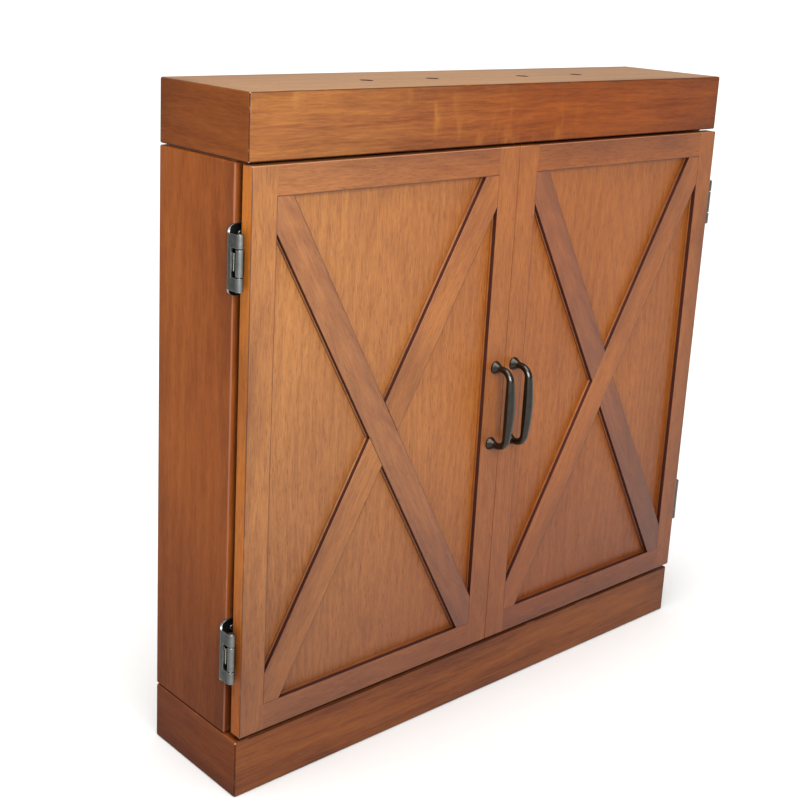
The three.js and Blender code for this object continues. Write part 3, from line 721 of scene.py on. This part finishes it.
def buildCarcass():
    named = {f"cornice_{key}": value for key, value in boxBoards.items()}
    named["top_panel"] = ("litTopWood", xAxis, yAxis, (4.0, 0.0, 0.0))
    buildBox("cornice", named)
    buildBox("base", {f"base_{key}": value for key, value in baseBoards.items()})
    for index, hand in enumerate(hands):
        node = f"{hand}_side_panel"
        case = caseOf(*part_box(node), (0, 0, carcassLook["sideReach"]))
        addBoard(node, easedMesh(node, carcassLook["sideRadius"]), "flankWood", "cabinet", (zAxis, yAxis), case,
                 (carcassLook["sideSeed"] + index, 0.0, 0.0))
    for index, node in enumerate(("cornice_floor", "base_top", "base_bottom", "back_panel")):
        grain = (zAxis, xAxis) if node == "back_panel" else (xAxis, yAxis)
        addBoard(node, easedMesh(node, carcassLook["insideRadius"]), "innerWood", "cabinet", grain,
                 caseOf(*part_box(node)), (carcassLook["insideSeed"] + index, 0.0, 0.0))


buildCarcass()
print("carcass ready")


doorLook = {
    "outerRadius": 1.2 * mm, "innerRadius": 0.2 * mm, "braceRadius": 0.4 * mm, "braceHalf": 17 * mm,
    "skin": 0.45 * mm, "wallDepth": 5.3 * mm, "seamSpare": 20 * mm, "ledge": 1.25 * mm,
    "caseSpare": 0.5 * mm, "braceSpare": 4 * mm, "rightSeed": 0.5,
    "finishes": ("recessGlazeAndShade", "litEdgeWood"),
    "members": {  # grain along, across, and seed, tone, redness
        "outer_stile": (zAxis, xAxis, (20.0, 0.03, 0.0)),
        "inner_stile": (zAxis, xAxis, (22.0, -0.04, 0.05)),
        "top_rail": (xAxis, zAxis, (24.0, -0.09, 0.3)),
        "bottom_rail": (xAxis, zAxis, (26.0, -0.06, 0.25)),
        "panel": (zAxis, xAxis, (28.0, 0.04, 0.0)),
    },
    "braces": {  # which way it leans, and for the left and right doors the finish, seed, tone, redness
        "long_brace": (1, {"left": ("braceWood", (31.0, -0.01, 0.1)),
                           "right": ("stainedWood", (31.5, 0.14, 0.0))}),
        "upper_short_brace": (-1, {"left": ("stainedWood", (33.0, 0.12, 0.0)),
                                   "right": ("braceWood", (33.5, -0.06, 0.2))}),
        "lower_short_brace": (-1, {"left": ("stainedWood", (35.0, 0.08, 0.0)),
                                   "right": ("braceWood", (35.5, -0.06, 0.2))}),
    },
}


def openingOf(hand):
    # the opening between the front arrises of a door's frame: lowest and highest x and z
    inner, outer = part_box(f"{hand}_door_inner_stile"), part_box(f"{hand}_door_outer_stile")
    top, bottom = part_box(f"{hand}_door_top_rail"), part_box(f"{hand}_door_bottom_rail")
    first, last = sorted((inner, outer), key=lambda box: box[0].x)
    ledge = doorLook["ledge"]
    return (first[1].x - ledge, bottom[1].z - ledge), (last[0].x + ledge, top[0].z + ledge)


def finishFaces(mesh, hand, case):
    # inside the opening, the walls down to the ledge get the dark recess finish, glaze with painted shade, but
    # for the eased arrises; the hinge edge of the door gets the lit edge finish, a lighter copy that paints the
    # light on that face
    (left, low), (right, high) = openingOf(hand)
    front = case["centre"][1] - case["half"][1]
    skin = doorLook["skin"]
    for face in mesh.polygons:
        c = face.center
        within = left - skin < c.x < right + skin and low - skin < c.z < high + skin
        if within and skin < c.y - front < doorLook["wallDepth"] and abs(face.normal.y) < 0.3:
            face.material_index = 1
        # the hinge edge face gets the lighter edge finish, a painted highlight
        if abs(face.normal.x) > 0.95 and abs(abs(c.x - case["centre"][0]) - case["half"][0]) < 2 * near:
            face.material_index = 2


def markRecess(mesh, u, v, half):
    # the place across and up from the middle of a recess, or across a brace, and the half sizes
    setAttribute(mesh, "recessSpace", np.stack([u, v, np.zeros_like(u)], 1))
    setAttribute(mesh, "recessHalf", np.tile((*half, 1.0), (len(u), 1)))


def buildDoor(hand, sign):
    members = [f"{hand}_door_{member}" for member in doorLook["members"]]
    boxes = [np.array(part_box(node)) for node in members]
    low, high = np.min([b[0] for b in boxes], axis=0), np.max([b[1] for b in boxes], axis=0)
    (high if sign < 0 else low)[0] -= sign * doorLook["seamSpare"]  # the meeting edge gets no arris marks
    case = caseOf(low, high)
    wornCase = {**case, "half": case["half"] + doorLook["caseSpare"]}
    opening = np.array(openingOf(hand))
    centre, half = opening.mean(axis=0), (opening[1] - opening[0]) / 2
    shift = np.array((0.0 if hand == "left" else doorLook["rightSeed"], 0.0, 0.0))
    for node, (along, across, look) in zip(members, doorLook["members"].values()):
        mesh = easedMesh(node, doorLook["innerRadius"], 2, case, doorLook["outerRadius"], (centre, half))
        if not node.endswith("_panel"):
            points = coordinates(mesh)
            markRecess(mesh, points[:, 0] - centre[0], points[:, 2] - centre[1], half)
        finishFaces(mesh, hand, case)
        addBoard(node, mesh, "stainedWood", f"{hand}_door", (along, across), wornCase, look + shift,
                 doorLook["finishes"])
    low, high = np.array(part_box(f"{hand}_door_long_brace"))
    width, height = high[0] - low[0], high[2] - low[2]
    length = math.hypot(width, height)
    for brace, (lean, choices) in doorLook["braces"].items():
        node = f"{hand}_door_{brace}"
        finish, look = choices[hand]
        along = np.array((sign * lean * width, 0, height)) / length
        across = np.array((along[2], 0, -along[0]))
        braceCase = {"centre": (low + high) / 2, "axes": np.array([along, across, np.cross(along, across)]),
                     "half": np.array((length, doorLook["braceHalf"],
                                       (high[1] - low[1]) / 2 + doorLook["braceSpare"]))}
        mesh = easedMesh(node, doorLook["braceRadius"], 2)
        markBoard(mesh, braceCase["centre"], along, across, braceCase, look)
        gaps = (coordinates(mesh) - braceCase["centre"]) @ -across
        markRecess(mesh, gaps, np.zeros_like(gaps), (doorLook["braceHalf"], 1.0))
        finishFaces(mesh, hand, case)
        addPiece(node + "_eased", mesh, finish, f"{hand}_door", [node], doorLook["finishes"])


for hand, sign in hands.items():
    buildDoor(hand, sign)
print("doors ready")


def ringDirections(axis, sides):
    # unit directions round an axis
    first = np.cross(axis, zAxis if abs(axis[2]) < 0.9 else xAxis)
    first = first / np.linalg.norm(first)
    turn = np.linspace(0, 2 * np.pi, sides, endpoint=False)[:, None]
    return np.cos(turn) * first + np.sin(turn) * np.cross(axis, first)


def closedMesh(name, rows, base, top):
    # rings of points, a row for each, closed to a point at either end
    count, sides = rows.shape[:2]
    i = np.arange(sides)
    j = (i + 1) % sides
    last, low = (count - 1) * sides, count * sides
    faces = gridFaces(count, sides, closeColumns=True).tolist()
    faces += [(low, b, a) for a, b in zip(i, j)] + [(low + 1, last + a, last + b) for a, b in zip(i, j)]
    return fixedOutwards(meshFrom(name, np.vstack([rows.reshape(-1, 3), base, top]), faces))


def turnedMesh(name, radii, heights, centre, axis, sides):
    # the profile (radius, height) turned about an axis through centre; both ends lie on the axis
    axis = np.array(axis, float)
    ring = ringDirections(axis, sides)
    rows = np.array(centre) + heights[:, None, None] * axis + radii[:, None, None] * ring
    return closedMesh(name, rows[1:-1], rows[0, 0], rows[-1, 0])


def fixedOutwards(mesh):
    # what hangs loose goes, points in one place are joined, and the faces are turned outwards
    solid = bmesh.new()
    solid.from_mesh(mesh)
    bmesh.ops.delete(solid, geom=[v for v in solid.verts if not v.link_faces], context="VERTS")
    bmesh.ops.remove_doubles(solid, verts=solid.verts, dist=0.001 * mm)
    bmesh.ops.recalc_face_normals(solid, faces=solid.faces)
    return finishedMesh(solid, mesh)


def sweptMesh(name, path, radii, sides=24):
    # a round tube along a path that lies square to X; the ends close on the path
    tangent = np.gradient(path, axis=0)
    tangent /= np.linalg.norm(tangent, axis=1)[:, None]
    side = np.array(xAxis, float)
    normal = np.cross(tangent, side)
    turn = np.linspace(0, 2 * np.pi, sides, endpoint=False)
    ring = np.cos(turn)[None, :, None] * side + np.sin(turn)[None, :, None] * normal[:, None, :]
    return closedMesh(name, path[:, None, :] + radii[:, None, None] * ring, path[0], path[-1])


def noRim(mesh, value=0.0):
    setAttribute(mesh, "rim", np.full((len(mesh.vertices), 3), value))
    return mesh


pullFacts = {"standOff": 26 * mm, "bend": 13 * mm, "bow": 1.5 * mm, "footRadius": 7.5 * mm, "rim": 1.3 * mm,
             "flareEnd": 9 * mm, "neck": 3.9 * mm, "middle": 6.0 * mm,
             "flarePower": 1.25, "swellPower": 1.1, "rimEasing": 0.4 * mm, "steps": 22,
             "footSteps": (0.0, 0.15 * mm, 0.6 * mm)}


def pullCentreline(halfSpan):
    # half of the bow from the door out to the middle of the bar: (distance from door, height)
    facts = pullFacts
    shoulder = facts["standOff"] - facts["bow"]
    barEnd = halfSpan - facts["bend"]
    *start, rest = facts["footSteps"]
    neckOut = np.concatenate([start, np.linspace(rest, shoulder - facts["bend"], facts["steps"])])
    neck = np.stack([neckOut, np.full_like(neckOut, halfSpan)], 1)
    turn = np.linspace(0, np.pi / 2, facts["steps"] - 2)[1:]
    bend = np.stack([shoulder - facts["bend"] + facts["bend"] * np.sin(turn),
                     barEnd + facts["bend"] * np.cos(turn)], 1)
    share = np.linspace(1, 0, facts["steps"])[1:]
    bar = np.stack([facts["standOff"] - facts["bow"] * share**2, barEnd * share], 1)
    line = np.vstack([neck, bend, bar])
    out = line[:, 0]
    flare = np.clip((out - facts["rim"]) / (facts["flareEnd"] - facts["rim"]), 0, 1)
    foot = facts["neck"] + (facts["footRadius"] - facts["neck"]) * (1 - flare) ** facts["flarePower"]
    foot = np.where(out < facts["rim"], facts["footRadius"], foot)
    foot[0] = facts["footRadius"] - facts["rimEasing"]
    swell = np.clip(1 - line[:, 1] / halfSpan, 0, 1)
    radius = np.where(out < facts["flareEnd"], foot,
                      facts["neck"] + (facts["middle"] - facts["neck"])
                      * np.sin(np.pi / 2 * swell) ** facts["swellPower"])
    return line, radius


def buildPull(hand):
    low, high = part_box(f"{hand}_pull")
    face = high.y
    side = (low.x + high.x) / 2
    middle = (low.z + high.z) / 2
    halfSpan = (high.z - low.z) / 2 - pullFacts["footRadius"]
    line, radius = pullCentreline(halfSpan)
    whole = np.vstack([line, (line * (1, -1))[-2::-1]])
    radii = np.concatenate([radius, radius[-2::-1]])
    path = np.stack([np.full(len(whole), side), face - whole[:, 0], middle + whole[:, 1]], 1)
    mesh = noRim(sweptMesh(f"{hand}_pull_bow", path, radii))
    addPiece(f"{hand}_pull_bow", mesh, "bronze", f"{hand}_door", [f"{hand}_pull"])


screwFacts = {"sides": 32, "share": (0.12, 0.24, 0.36, 0.48, 0.60, 0.72, 0.84, 0.95, 1.0), "fall": 0.45,
              "arm": 0.16, "armEnd": 0.62, "deep": 0.5, "wear": 0.5,
              "machineHead": 2.25 * mm, "machineShank": 2 * mm}


def screwHead(name, radius, height, centre, outwards, shank=0.0, shankRadius=0.0):
    # the dome falls as the fourth power of the distance, less a cross-shaped recess
    facts = screwFacts
    centre, axis = np.array(centre), np.array(outwards, float)
    ring = ringDirections(axis, facts["sides"])
    turn = np.linspace(0, 2 * np.pi, facts["sides"], endpoint=False)
    share = np.array(facts["share"])[:, None]
    arm = share * np.minimum(np.abs(np.cos(turn)), np.abs(np.sin(turn))) < facts["arm"]
    recess = np.where(arm & (share < facts["armEnd"]), facts["deep"] * height, 0.0)
    lift = height * (1 - facts["fall"] * share**4) - recess
    lift[-1] = 0.0
    rows = centre + radius * share[..., None] * ring + lift[..., None] * axis
    if shank:
        rows = np.concatenate([rows, [centre + shankRadius * ring - depth * axis for depth in (0.0, shank)]])
    mesh = closedMesh(name, rows, centre + facts["deep"] * height * axis, centre - shank * axis)
    return noRim(mesh, facts["wear"])


def buildPullScrews(hand):
    facts = screwFacts
    for level in ("lower", "upper"):
        node = f"{hand}_pull_{level}_screw"
        low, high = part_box(node)
        under = high.y - facts["machineHead"]
        centre = ((low.x + high.x) / 2, under, (low.z + high.z) / 2)
        mesh = screwHead(node + "_cross", (high.x - low.x) / 2, facts["machineHead"], centre, yAxis,
                         under - low.y, facts["machineShank"])
        addPiece(node + "_cross", mesh, "zincSteel", f"{hand}_door", [node])


for hand in hands:
    buildPull(hand)
    buildPullScrews(hand)
print("pulls ready")


hingeFacts = {
    "plate": 2.0 * mm, "axisSide": 367.25 * mm, "axisBack": -146.75 * mm, "rollRadius": 3.0 * mm,
    "frameFlat": (348 * mm, -130 * mm), "frameBend": 4.0 * mm, "shoulder": 359 * mm,
    "frameHalf": 35.25 * mm, "barrelHalf": 27.25 * mm, "windowHalf": 14.3 * mm, "windowBack": -138 * mm,
    "doorPlate": 1.75 * mm, "doorInner": 336 * mm, "doorBackHalf": 22 * mm, "knuckleHalf": 13.0 * mm,
    "edgeSide": 360.625 * mm, "backFace": -136.875 * mm, "rimWidth": 0.45 * mm,
    "doorBend": 1.3 * mm, "edgeFront": -142 * mm, "pulls": (3.2 * mm, 2.6 * mm), "meetingTurn": 225,
    "taper": (352 * mm, 8 * mm), "eased": (0.35 * mm, 0.3 * mm), "easedTurn": 50,
    "pinRadii": (0, 1.6, 2.6, 3.0, 3.2, 3.2, 1.95, 1.95, 3.2, 3.2, 3.0, 2.6, 1.6, 0),  # mm, end to end
    "pinLevels": (0, 0.05, 0.18, 0.36, 0.55, 0.75, 0.76), "pinWear": 0.7,  # mm in from either end
    "spring": {"bow": 0.18 * mm, "inset": 0.3 * mm, "short": 2.6 * mm, "half": 0.36, "plate": 0.5 * mm},
    "screw": (3.4 * mm, 1.1 * mm), "frameScrew": (355 * mm, 25 * mm), "doorScrew": (343 * mm, 14 * mm),
    "knuckleWear": {"peak": 0.62, "least": 0.10, "towards": -62, "spread": 42},
}


def knuckleWear(path):
    # a painted highlight round a knuckle: greatest on the side that stands proud, less as the square exponent
    # of the angle from it
    f, wear = hingeFacts, hingeFacts["knuckleWear"]
    angle = np.degrees(np.arctan2(path[:, 1] - f["axisBack"], path[:, 0] - f["axisSide"]))
    away = (angle - wear["towards"] + 180) % 360 - 180
    return wear["least"] + (wear["peak"] - wear["least"]) * np.exp(-(away / wear["spread"]) ** 2)


def arcPoints(centre, radius, start, end, count):
    turn = np.radians(np.linspace(start, end, count))
    return np.stack([centre[0] + radius * np.cos(turn), centre[1] + radius * np.sin(turn)], 1)


def framePath():
    # side and depth along the fixed leaf: flat, bend, forward, then round the pin
    f = hingeFacts
    corner = (f["axisSide"] + f["rollRadius"] - f["frameBend"], f["frameFlat"][1] - f["frameBend"])
    flat = np.linspace(f["frameFlat"], (corner[0], f["frameFlat"][1]), 8)
    bend = arcPoints(corner, f["frameBend"], 90, 0, 9)[1:]
    strap = np.array([(f["axisSide"] + f["rollRadius"], y)
                      for y in (f["windowBack"] + f["rimWidth"], f["windowBack"],
                                *np.linspace(f["windowBack"], f["axisBack"], 5)[1:])])
    roll = arcPoints((f["axisSide"], f["axisBack"]), f["rollRadius"], 0, -285, 40)[1:]
    return np.vstack([flat, bend, strap, roll]), len(flat) + len(bend) + 1


def doorPath():
    # side and depth along the moving leaf: on the door's back, its edge, then round the pin
    f = hingeFacts
    bend, meeting = f["doorBend"], math.radians(f["meetingTurn"])
    corner = (f["edgeSide"] - bend, f["backFace"] - bend)
    back = np.linspace((f["doorInner"], f["backFace"]), (corner[0], f["backFace"]), 10)
    turnEdge = arcPoints(corner, bend, 90, 0, 6)[1:]
    start = np.array((f["edgeSide"], f["edgeFront"]))
    axis = np.array((f["axisSide"], f["axisBack"]))
    end = axis + f["rollRadius"] * np.array((math.cos(meeting), math.sin(meeting)))
    t = np.linspace(0, 1, 12)[:, None]
    first = start - (0, f["pulls"][0])
    second = end + np.array((math.sin(meeting), -math.cos(meeting))) * f["pulls"][1]
    jog = start * (1 - t) ** 3 + 3 * first * t * (1 - t) ** 2 + 3 * second * t * t * (1 - t) + end * t**3
    roll = arcPoints(axis, f["rollRadius"], f["meetingTurn"], f["meetingTurn"] + 325, 44)[1:]
    return np.vstack([back, turnEdge, jog, roll]), len(back)


def plateMesh(name, path, halfHeights, thickness, sign, middle, window=None, rollStart=None):
    # a sheet along the path, thickened to both sides: rows are heights, columns follow the path.
    # the cells of the window are left out, and every open edge gets a rim
    f = hingeFacts
    tangent = np.gradient(path, axis=0)
    tangent /= np.linalg.norm(tangent, axis=1)[:, None]
    normal = np.stack([tangent[:, 1], -tangent[:, 0]], 1)
    split = 0.5 * f["knuckleHalf"] if window is None else f["windowHalf"]
    lip = f["rimWidth"]
    outer = np.stack([np.full(len(path), split), np.full(len(path), split + lip),
                      (halfHeights + split) / 2, halfHeights - lip, halfHeights])
    inner = np.tile(np.array([-split + lip, 0, split - lip])[:, None], (1, len(path)))
    rows = np.concatenate([-outer[::-1], inner, outer])
    count, columns = rows.shape
    sheets = []
    for offset in (thickness / 2, -thickness / 2):
        line = path + normal * offset
        xyz = np.stack([np.broadcast_to(line[:, 0] * sign, rows.shape),
                        np.broadcast_to(line[:, 1], rows.shape), rows + middle], -1)
        sheets.append(xyz.reshape(-1, 3))
    keep = np.ones((count - 1, columns - 1), bool)
    if window is not None:
        keep[4:count - 5, window:] = False
    cells = np.argwhere(keep)
    a = cells[:, 0] * columns + cells[:, 1]
    quads = np.stack([a, a + 1, a + columns + 1, a + columns], 1)
    total = count * columns
    under = quads[:, ::-1] + total
    edges = np.concatenate([quads[:, [k, (k + 1) % 4]] for k in range(4)])
    known = {tuple(e) for e in edges.tolist()}
    rims = [(q, p, p + total, q + total) for p, q in known if (q, p) not in known]
    points = np.vstack(sheets)
    faces = quads.tolist() + under.tolist() + rims
    mesh = meshFrom(name, points, faces)
    border = np.zeros(2 * total)
    for p, q, *_ in rims:
        border[[p, q, p + total, q + total]] = 1.0
    # the rolled part gets the painted highlight of the knuckle
    if rollStart:
        rolled = np.where(np.arange(columns) < rollStart, 0.0, knuckleWear(path))
        border = np.maximum(border, np.tile(rolled, 2 * count))
    setAttribute(mesh, "rim", np.repeat(border[:, None], 3, axis=1))
    return fixedOutwards(mesh)


def softenRims(piece, width):
    bevel = piece.modifiers.new("easedRims", "BEVEL")
    bevel.width = width
    bevel.segments = 2
    bevel.limit_method = "ANGLE"
    bevel.angle_limit = math.radians(hingeFacts["easedTurn"])
    bevel.harden_normals = True


def buildHinge(hand, sign, level):
    f = hingeFacts
    name = f"{hand}_{level}_hinge"
    low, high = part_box(f"{name}_frame_leaf")
    middle = (low.z + high.z) / 2

    path, window = framePath()
    share = np.clip((path[:, 0] - f["shoulder"]) / (f["axisSide"] + f["rollRadius"] - f["plate"] / 2
                                                  - f["shoulder"]), 0, 1)
    heights = f["barrelHalf"] + (f["frameHalf"] - f["barrelHalf"]) * np.sqrt(1 - share**2)
    heights[window - 5:] = f["barrelHalf"]
    mesh = plateMesh(f"{name}_fixed_leaf", path, heights, f["plate"], sign, middle, window, window + 4)
    piece = addPiece(f"{name}_fixed_leaf", mesh, "pewter", "cabinet", [f"{name}_frame_leaf"])
    softenRims(piece, f["eased"][0])

    path, edge = doorPath()
    share = np.clip((path[:, 0] - f["taper"][0]) / f["taper"][1], 0, 1)
    heights = f["doorBackHalf"] + (f["knuckleHalf"] - f["doorBackHalf"]) * share * share * (3 - 2 * share)
    heights[edge:] = f["knuckleHalf"]
    mesh = plateMesh(f"{name}_moving_leaf", path, heights, f["doorPlate"], sign, middle, rollStart=edge + 17)
    piece = addPiece(f"{name}_moving_leaf", mesh, "pewter", f"{hand}_door", [f"{name}_door_leaf"])
    softenRims(piece, f["eased"][1])

    centre = (sign * f["axisSide"], f["axisBack"], middle)
    end = (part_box(f"{name}_pin")[1].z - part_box(f"{name}_pin")[0].z) / 2
    rise = np.array(f["pinLevels"]) * mm - end
    mesh = turnedMesh(f"{name}_pin_turned", np.array(f["pinRadii"]) * mm, np.concatenate([rise, -rise[::-1]]),
                      centre, zAxis, 24)
    addPiece(f"{name}_pin_turned", noRim(mesh, f["pinWear"]), "pewter", "cabinet", [f"{name}_pin"])

    low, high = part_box(f"{name}_spring")
    facts = f["spring"]
    t = np.linspace(0, 1, 12)
    side = (high.x + low.x) / 2 + sign * facts["bow"] * np.cos(2 * np.pi * t)
    strip = np.stack([np.abs(side), high.y - facts["inset"] - (high.y - low.y - facts["short"]) * t], 1)
    halves = np.full(len(t), (high.z - low.z) * facts["half"])
    mesh = plateMesh(f"{name}_spring_leaf", strip, halves, facts["plate"], sign, middle)
    addPiece(f"{name}_spring_leaf", mesh, "springSteel", "cabinet", [f"{name}_spring"])

    frontFace, backFace = f["frameFlat"][1] - f["plate"] / 2, f["backFace"] + f["doorPlate"] / 2
    for part, depth, outwards, body in (("frame", frontFace, -1, "cabinet"),
                                        ("door", backFace, 1, f"{hand}_door")):
        side, lift = f[part + "Screw"]
        for index, level in enumerate((-lift, lift)):
            screw = f"{name}_{part}_screw_{index}"
            mesh = screwHead(screw, *f["screw"], (sign * side, depth, middle + level), (0, outwards, 0))
            addPiece(screw, mesh, "pewter", body)


for hand, sign in hands.items():
    for level in ("lower", "upper"):
        buildHinge(hand, sign, level)
print("hinges ready")


insideFacts = {"rackRadius": 0.8 * mm, "scoreboardRadius": 0.5 * mm, "seed": 41.0}


def buildInside(hand, index):
    facts = insideFacts
    node = f"{hand}_dart_rack"
    addBoard(node, easedMesh(node, facts["rackRadius"]), "innerWood", f"{hand}_door", (xAxis, zAxis),
             caseOf(*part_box(node)), (facts["seed"] + index, 0.0, 0.0))
    node = f"{hand}_scoreboard"
    addPiece(node + "_eased", easedMesh(node, facts["scoreboardRadius"]), "slate", f"{hand}_door", [node])


for index, hand in enumerate(hands):
    buildInside(hand, index)


def torusPoints(radius, tube, depth, turns=96, sides=8):
    # points of a ring of round wire that lies square to Y
    turn = np.linspace(0, 2 * np.pi, turns, endpoint=False)[:, None]
    wire = np.linspace(0, 2 * np.pi, sides, endpoint=False)[None, :]
    reach = radius + tube * np.cos(wire)
    xyz = np.stack([reach * np.sin(turn), depth + tube * np.sin(wire) + 0 * turn, reach * np.cos(turn)], -1)
    return xyz.reshape(-1, 3), gridFaces(turns, sides, closeRows=True, closeColumns=True)


def rodPoints(start, end, tube, sides=8):
    start, end = np.array(start), np.array(end)
    axis = (end - start) / np.linalg.norm(end - start)
    first = np.cross(axis, (0, 1, 0))
    second = np.cross(axis, first)
    turn = np.linspace(0, 2 * np.pi, sides, endpoint=False)[:, None]
    ring = tube * (np.cos(turn) * first + np.sin(turn) * second)
    points = np.vstack([start + ring, end + ring])
    faces = gridFaces(2, sides, closeColumns=True).tolist()
    return points, faces + [tuple(range(sides))[::-1], tuple(range(sides, 2 * sides))]


def joinedMesh(name, parts):
    points, faces, start = [], [], 0
    for partPoints, partFaces in parts:
        points.append(partPoints)
        faces += [tuple(int(i) + start for i in face) for face in partFaces]
        start += len(partPoints)
    return fixedOutwards(meshFrom(name, np.vstack(points), faces))


dartFacts = {
    # mm from the middle, and mm down from the front
    "face": ((0, 0), (6, 0), (60, 0), (120, 0), (180, 0), (215, 0), (221, 0.3), (224, 1.2)),
    "frontEasing": 3.2 * mm, "backEasing": 1.5 * mm, "backRing": 120 * mm,
    "wire": 0.75 * mm, "ringSunk": 0.6, "spokeSunk": 0.5, "spokeSpare": 4 * mm, "wear": 0.4,
    "numberRing": 202.5 * mm, "digitReach": 190 * mm, "digitSize": 25 * mm, "digitHalf": 0.5 * mm,
    "order": (20, 1, 18, 4, 13, 6, 10, 15, 2, 17, 3, 19, 7, 16, 8, 11, 14, 9, 12, 5),
    "bracketRadius": 0.4 * mm, "bracketWear": 0.2,
}


def buildDartBoard():
    facts = dartFacts
    low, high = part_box("bristle_board")
    radius, front, back = high.x, low.y, high.y
    profile = [(reach * mm, front + depth * mm) for reach, depth in facts["face"]]
    profile += [(radius, front + facts["frontEasing"]), (radius, back - facts["backEasing"]),
                (radius - facts["backEasing"], back), (facts["backRing"], back), (0, back)]
    mesh = turnedMesh("bristle_board_turned", *np.array(profile).T, (0, 0, 0), yAxis, 128)
    addPiece("bristle_board_turned", mesh, "sisal", "dart_board", ["bristle_board"])

    wire = facts["wire"]
    rings = [torusPoints(value * mm, wire, front - wire * facts["ringSunk"]) for value in boardRings.values()]
    inner, outer = boardRings["outerBull"] * mm, boardRings["doubleOut"] * mm + facts["spokeSpare"]
    for sector in range(sectors):
        turn = 2 * math.pi * (sector + 0.5) / sectors
        ray = np.array((math.sin(turn), 0, math.cos(turn)))
        lift = np.array((0, front - wire * facts["spokeSunk"], 0))
        rings.append(rodPoints(ray * inner + lift, ray * outer + lift, wire))
    mesh = noRim(joinedMesh("wire_spider", rings), facts["wear"])
    addPiece("wire_spider", mesh, "zincSteel", "dart_board")

    parts = [torusPoints(facts["numberRing"], wire, front - wire, 128)]
    for sector, value in enumerate(facts["order"]):
        text = bpy.data.curves.new(f"digit_{value}", "FONT")
        text.body = str(value)
        text.size, text.extrude = facts["digitSize"], facts["digitHalf"]
        text.align_x, text.align_y = "CENTER", "CENTER"
        text.resolution_u = 3
        holder = bpy.data.objects.new("digit", text)
        scene.collection.objects.link(holder)
        bpy.context.view_layer.update()
        flat = holder.evaluated_get(bpy.context.evaluated_depsgraph_get()).to_mesh()
        points = coordinates(flat)
        turn = 2 * math.pi * sector / sectors
        x, z = points[:, 0], points[:, 1] + facts["digitReach"]
        placed = np.stack([x * math.cos(turn) + z * math.sin(turn), front - wire - points[:, 2],
                           z * math.cos(turn) - x * math.sin(turn)], 1)
        parts.append((placed, [tuple(face.vertices) for face in flat.polygons]))
        bpy.data.objects.remove(holder)
    mesh = noRim(joinedMesh("number_ring_wire", parts), facts["wear"])
    addPiece("number_ring_wire", mesh, "zincSteel", "dart_board", ["number_ring"])
    for node in ("dartboard_bracket", "dartboard_hanger"):
        body = "cabinet" if node.endswith("bracket") else "dart_board"
        mesh = noRim(easedMesh(node, facts["bracketRadius"], 2), facts["bracketWear"])
        addPiece(node + "_eased", mesh, "zincSteel", body, [node])


buildDartBoard()
print("inside ready")
